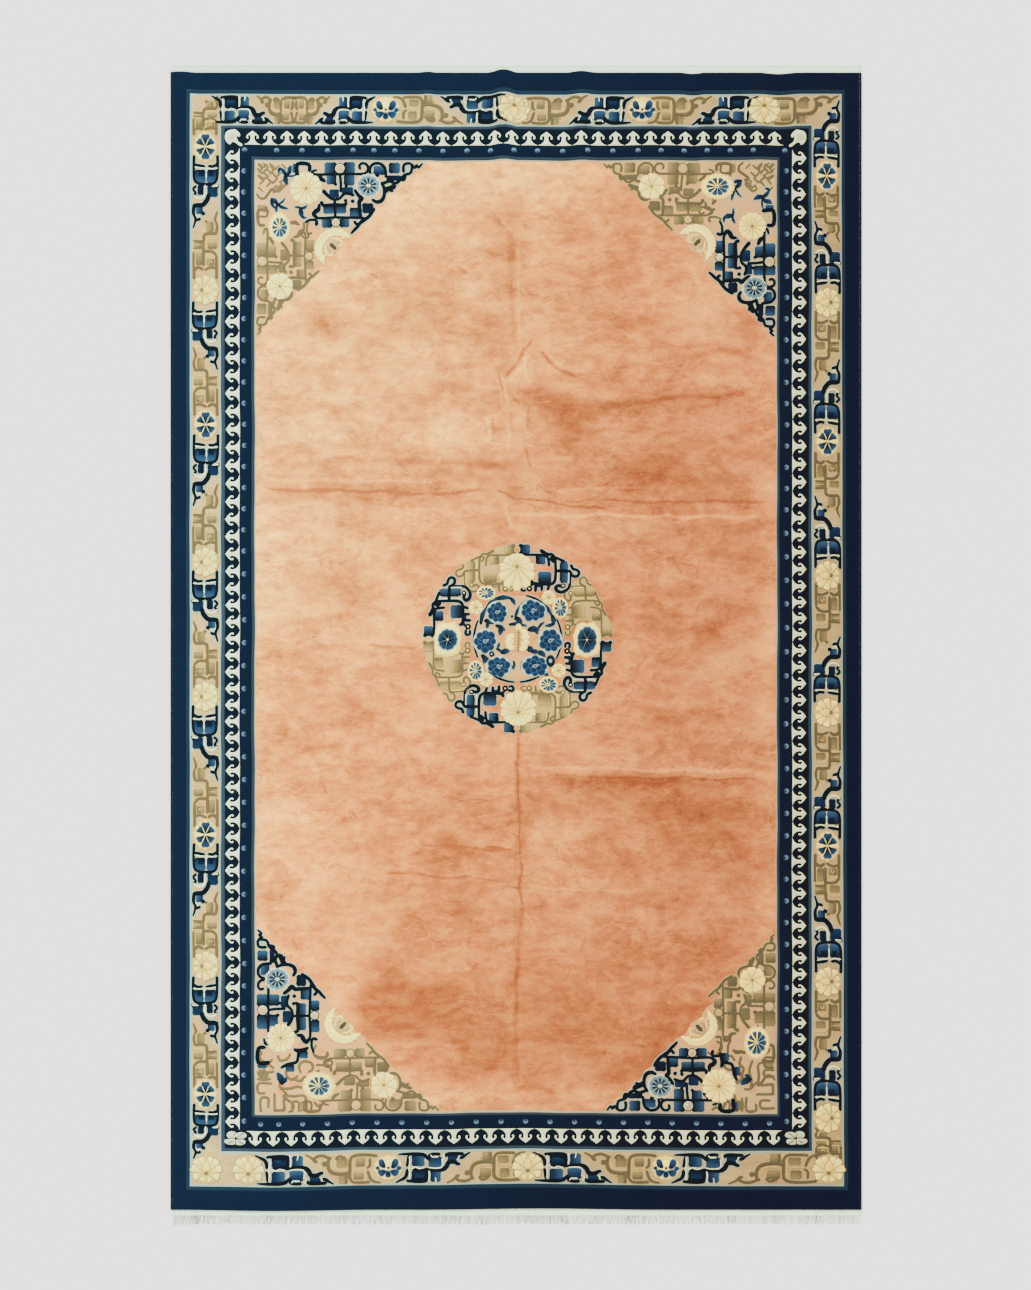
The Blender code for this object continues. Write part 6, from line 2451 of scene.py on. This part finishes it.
def make_fringe(material):
    """Loose warp ends, lying on the floor and fanning out a little towards the corners."""
    rng = random.Random(5)
    half = WIDTH / 2 - STRIP_INSET
    points, colours, faces = [], [], []
    for i in range(STRANDS):
        x0 = -half + 0.004 + (2 * half - 0.008) * (i + 0.5) / STRANDS + rng.uniform(-0.001, 0.001)
        lean = 0.008 * (x0 / half) ** 3 + 0.004 * math.sin(x0 * 9.0 + 1.0) + rng.uniform(-0.010, 0.010)
        lean = max(-half - 0.003 - x0, min(half + 0.003 - x0, lean))
        length = FRINGE * rng.uniform(0.74, 0.985)
        curl = rng.uniform(-0.002, 0.002)
        layer = 0.0016 + 0.0022 * rng.random()
        width = rng.uniform(0.0010, 0.0016)
        # A share of the strands is drawn greyer, in clumps: painted shade where strands lie in each other's
        # shadow.
        grey = rng.random() ** 1.2 * (0.66 + 0.38 * math.sin(x0 * 31.0) * math.sin(x0 * 13.0 + 2.0))
        colour = tuple(np.array(COTTON_BRIGHT.left) * (1 - grey) + np.array(COTTON_SHADE.left) * 0.62 * grey)
        path, radii = [], []
        for k in range(6):
            t = k / 5
            x = x0 + lean * t**1.3 + curl * math.sin(math.pi * t)
            y = STRIP_Y + 0.002 - (length + 0.001) * t
            z = 0.0014 + (layer - 0.0014) * math.sin(math.pi * min(1.0, t * 1.1)) + 0.0002
            path.append((x, y, max(z, width * 0.8)))
            radii.append(width * (1.1 - 0.35 * t))
        add_strand(points, colours, faces, path, radii, colour)
    return make_mesh("fringe", np.array(points), faces, np.array(colours), [material])


# ---------------------------------------------------------------- floor, light and camera
CAMERA_HEIGHT = 20.0
FRAME_LENGTH = FRAME_PY * PIXEL
SENSOR = 36.0
FLOOR_HALF = 14.0
SKY_STRENGTH = 1.84
SUN_STRENGTH = 5.3
SUN_SPREAD = math.radians(24)
SUN_SIDE = (-0.45, 0.85, 0.95)


def make_floor():
    corners = [(x * FLOOR_HALF, y * FLOOR_HALF, 0.0) for x, y in ((-1, -1), (1, -1), (1, 1), (-1, 1))]
    mesh = bpy.data.meshes.new("floor")
    mesh.from_pydata(corners, [], [(0, 1, 2, 3)])
    mesh.materials.append(floor_material())
    floor = bpy.data.objects.new("floor", mesh)
    bpy.context.scene.collection.objects.link(floor)
    floor.location.z = -0.0005


def make_light():
    world = bpy.data.worlds.new("studio")
    world.use_nodes = True
    sky = world.node_tree.nodes["Background"]
    sky.inputs["Color"].default_value = (1.0, 1.0, 1.0, 1.0)
    sky.inputs["Strength"].default_value = SKY_STRENGTH
    bpy.context.scene.world = world
    sun = bpy.data.lights.new("window", "SUN")
    sun.energy = SUN_STRENGTH
    sun.angle = SUN_SPREAD
    lamp = bpy.data.objects.new("window", sun)
    lamp.rotation_euler = Vector(SUN_SIDE).to_track_quat("Z", "Y").to_euler()
    bpy.context.scene.collection.objects.link(lamp)


def make_camera():
    data = bpy.data.cameras.new("camera")
    data.sensor_width = SENSOR
    data.lens = SENSOR * CAMERA_HEIGHT / FRAME_LENGTH
    data.clip_end = 100.0
    camera = bpy.data.objects.new("camera", data)
    x, y = place(FRAME_PX / 2, FRAME_PY / 2)
    camera.location = (x, y, CAMERA_HEIGHT + THICKNESS)
    bpy.context.scene.collection.objects.link(camera)
    bpy.context.scene.camera = camera


def dress(piece, node):
    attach(piece, "root")
    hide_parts(node)


def main():
    make_camera()
    make_light()
    make_floor()
    pile = wool_material("wool_pile", True)
    motif_pile = wool_material("motif_wool")
    cotton = cotton_material("cotton_weave", 0.5)
    carpet = make_carpet(pile, back_material())
    motifs = draw_main_border(motif_pile)
    clouds = Drawing("cloud_border")
    draw_cloud_border(clouds)
    motifs.append(clouds.finished(motif_pile))
    pearls = Drawing("pearl_border")
    draw_pearls(pearls)
    motifs.append(pearls.finished(motif_pile))
    for name, corner in zip(("top_left", "top_right", "bottom_left", "bottom_right"), CORNERS):
        drawing = Drawing("corner_" + name)
        draw_corner(drawing, corner)
        motifs.append(drawing.finished(motif_pile))
    medallion = Drawing("medallion")
    draw_medallion(medallion)
    motifs.append(medallion.finished(motif_pile))
    yarn = yarn_material()
    cords = [make_cord("cord_left", -1, yarn), make_cord("cord_right", 1, yarn)]
    top_end = make_top_end(cotton)
    bottom_end = make_bottom_end(cotton)
    fringe = make_fringe(cotton_material("cotton_fringe", 0.7))
    for piece in [carpet, *motifs]:
        dress(piece, "carpet")
    dress(cords[0], "side_cord_left")
    dress(cords[1], "side_cord_right")
    dress(top_end, "woven_end_top")
    dress(bottom_end, "woven_end_fringe")
    dress(fringe, "woven_end_fringe")


main()
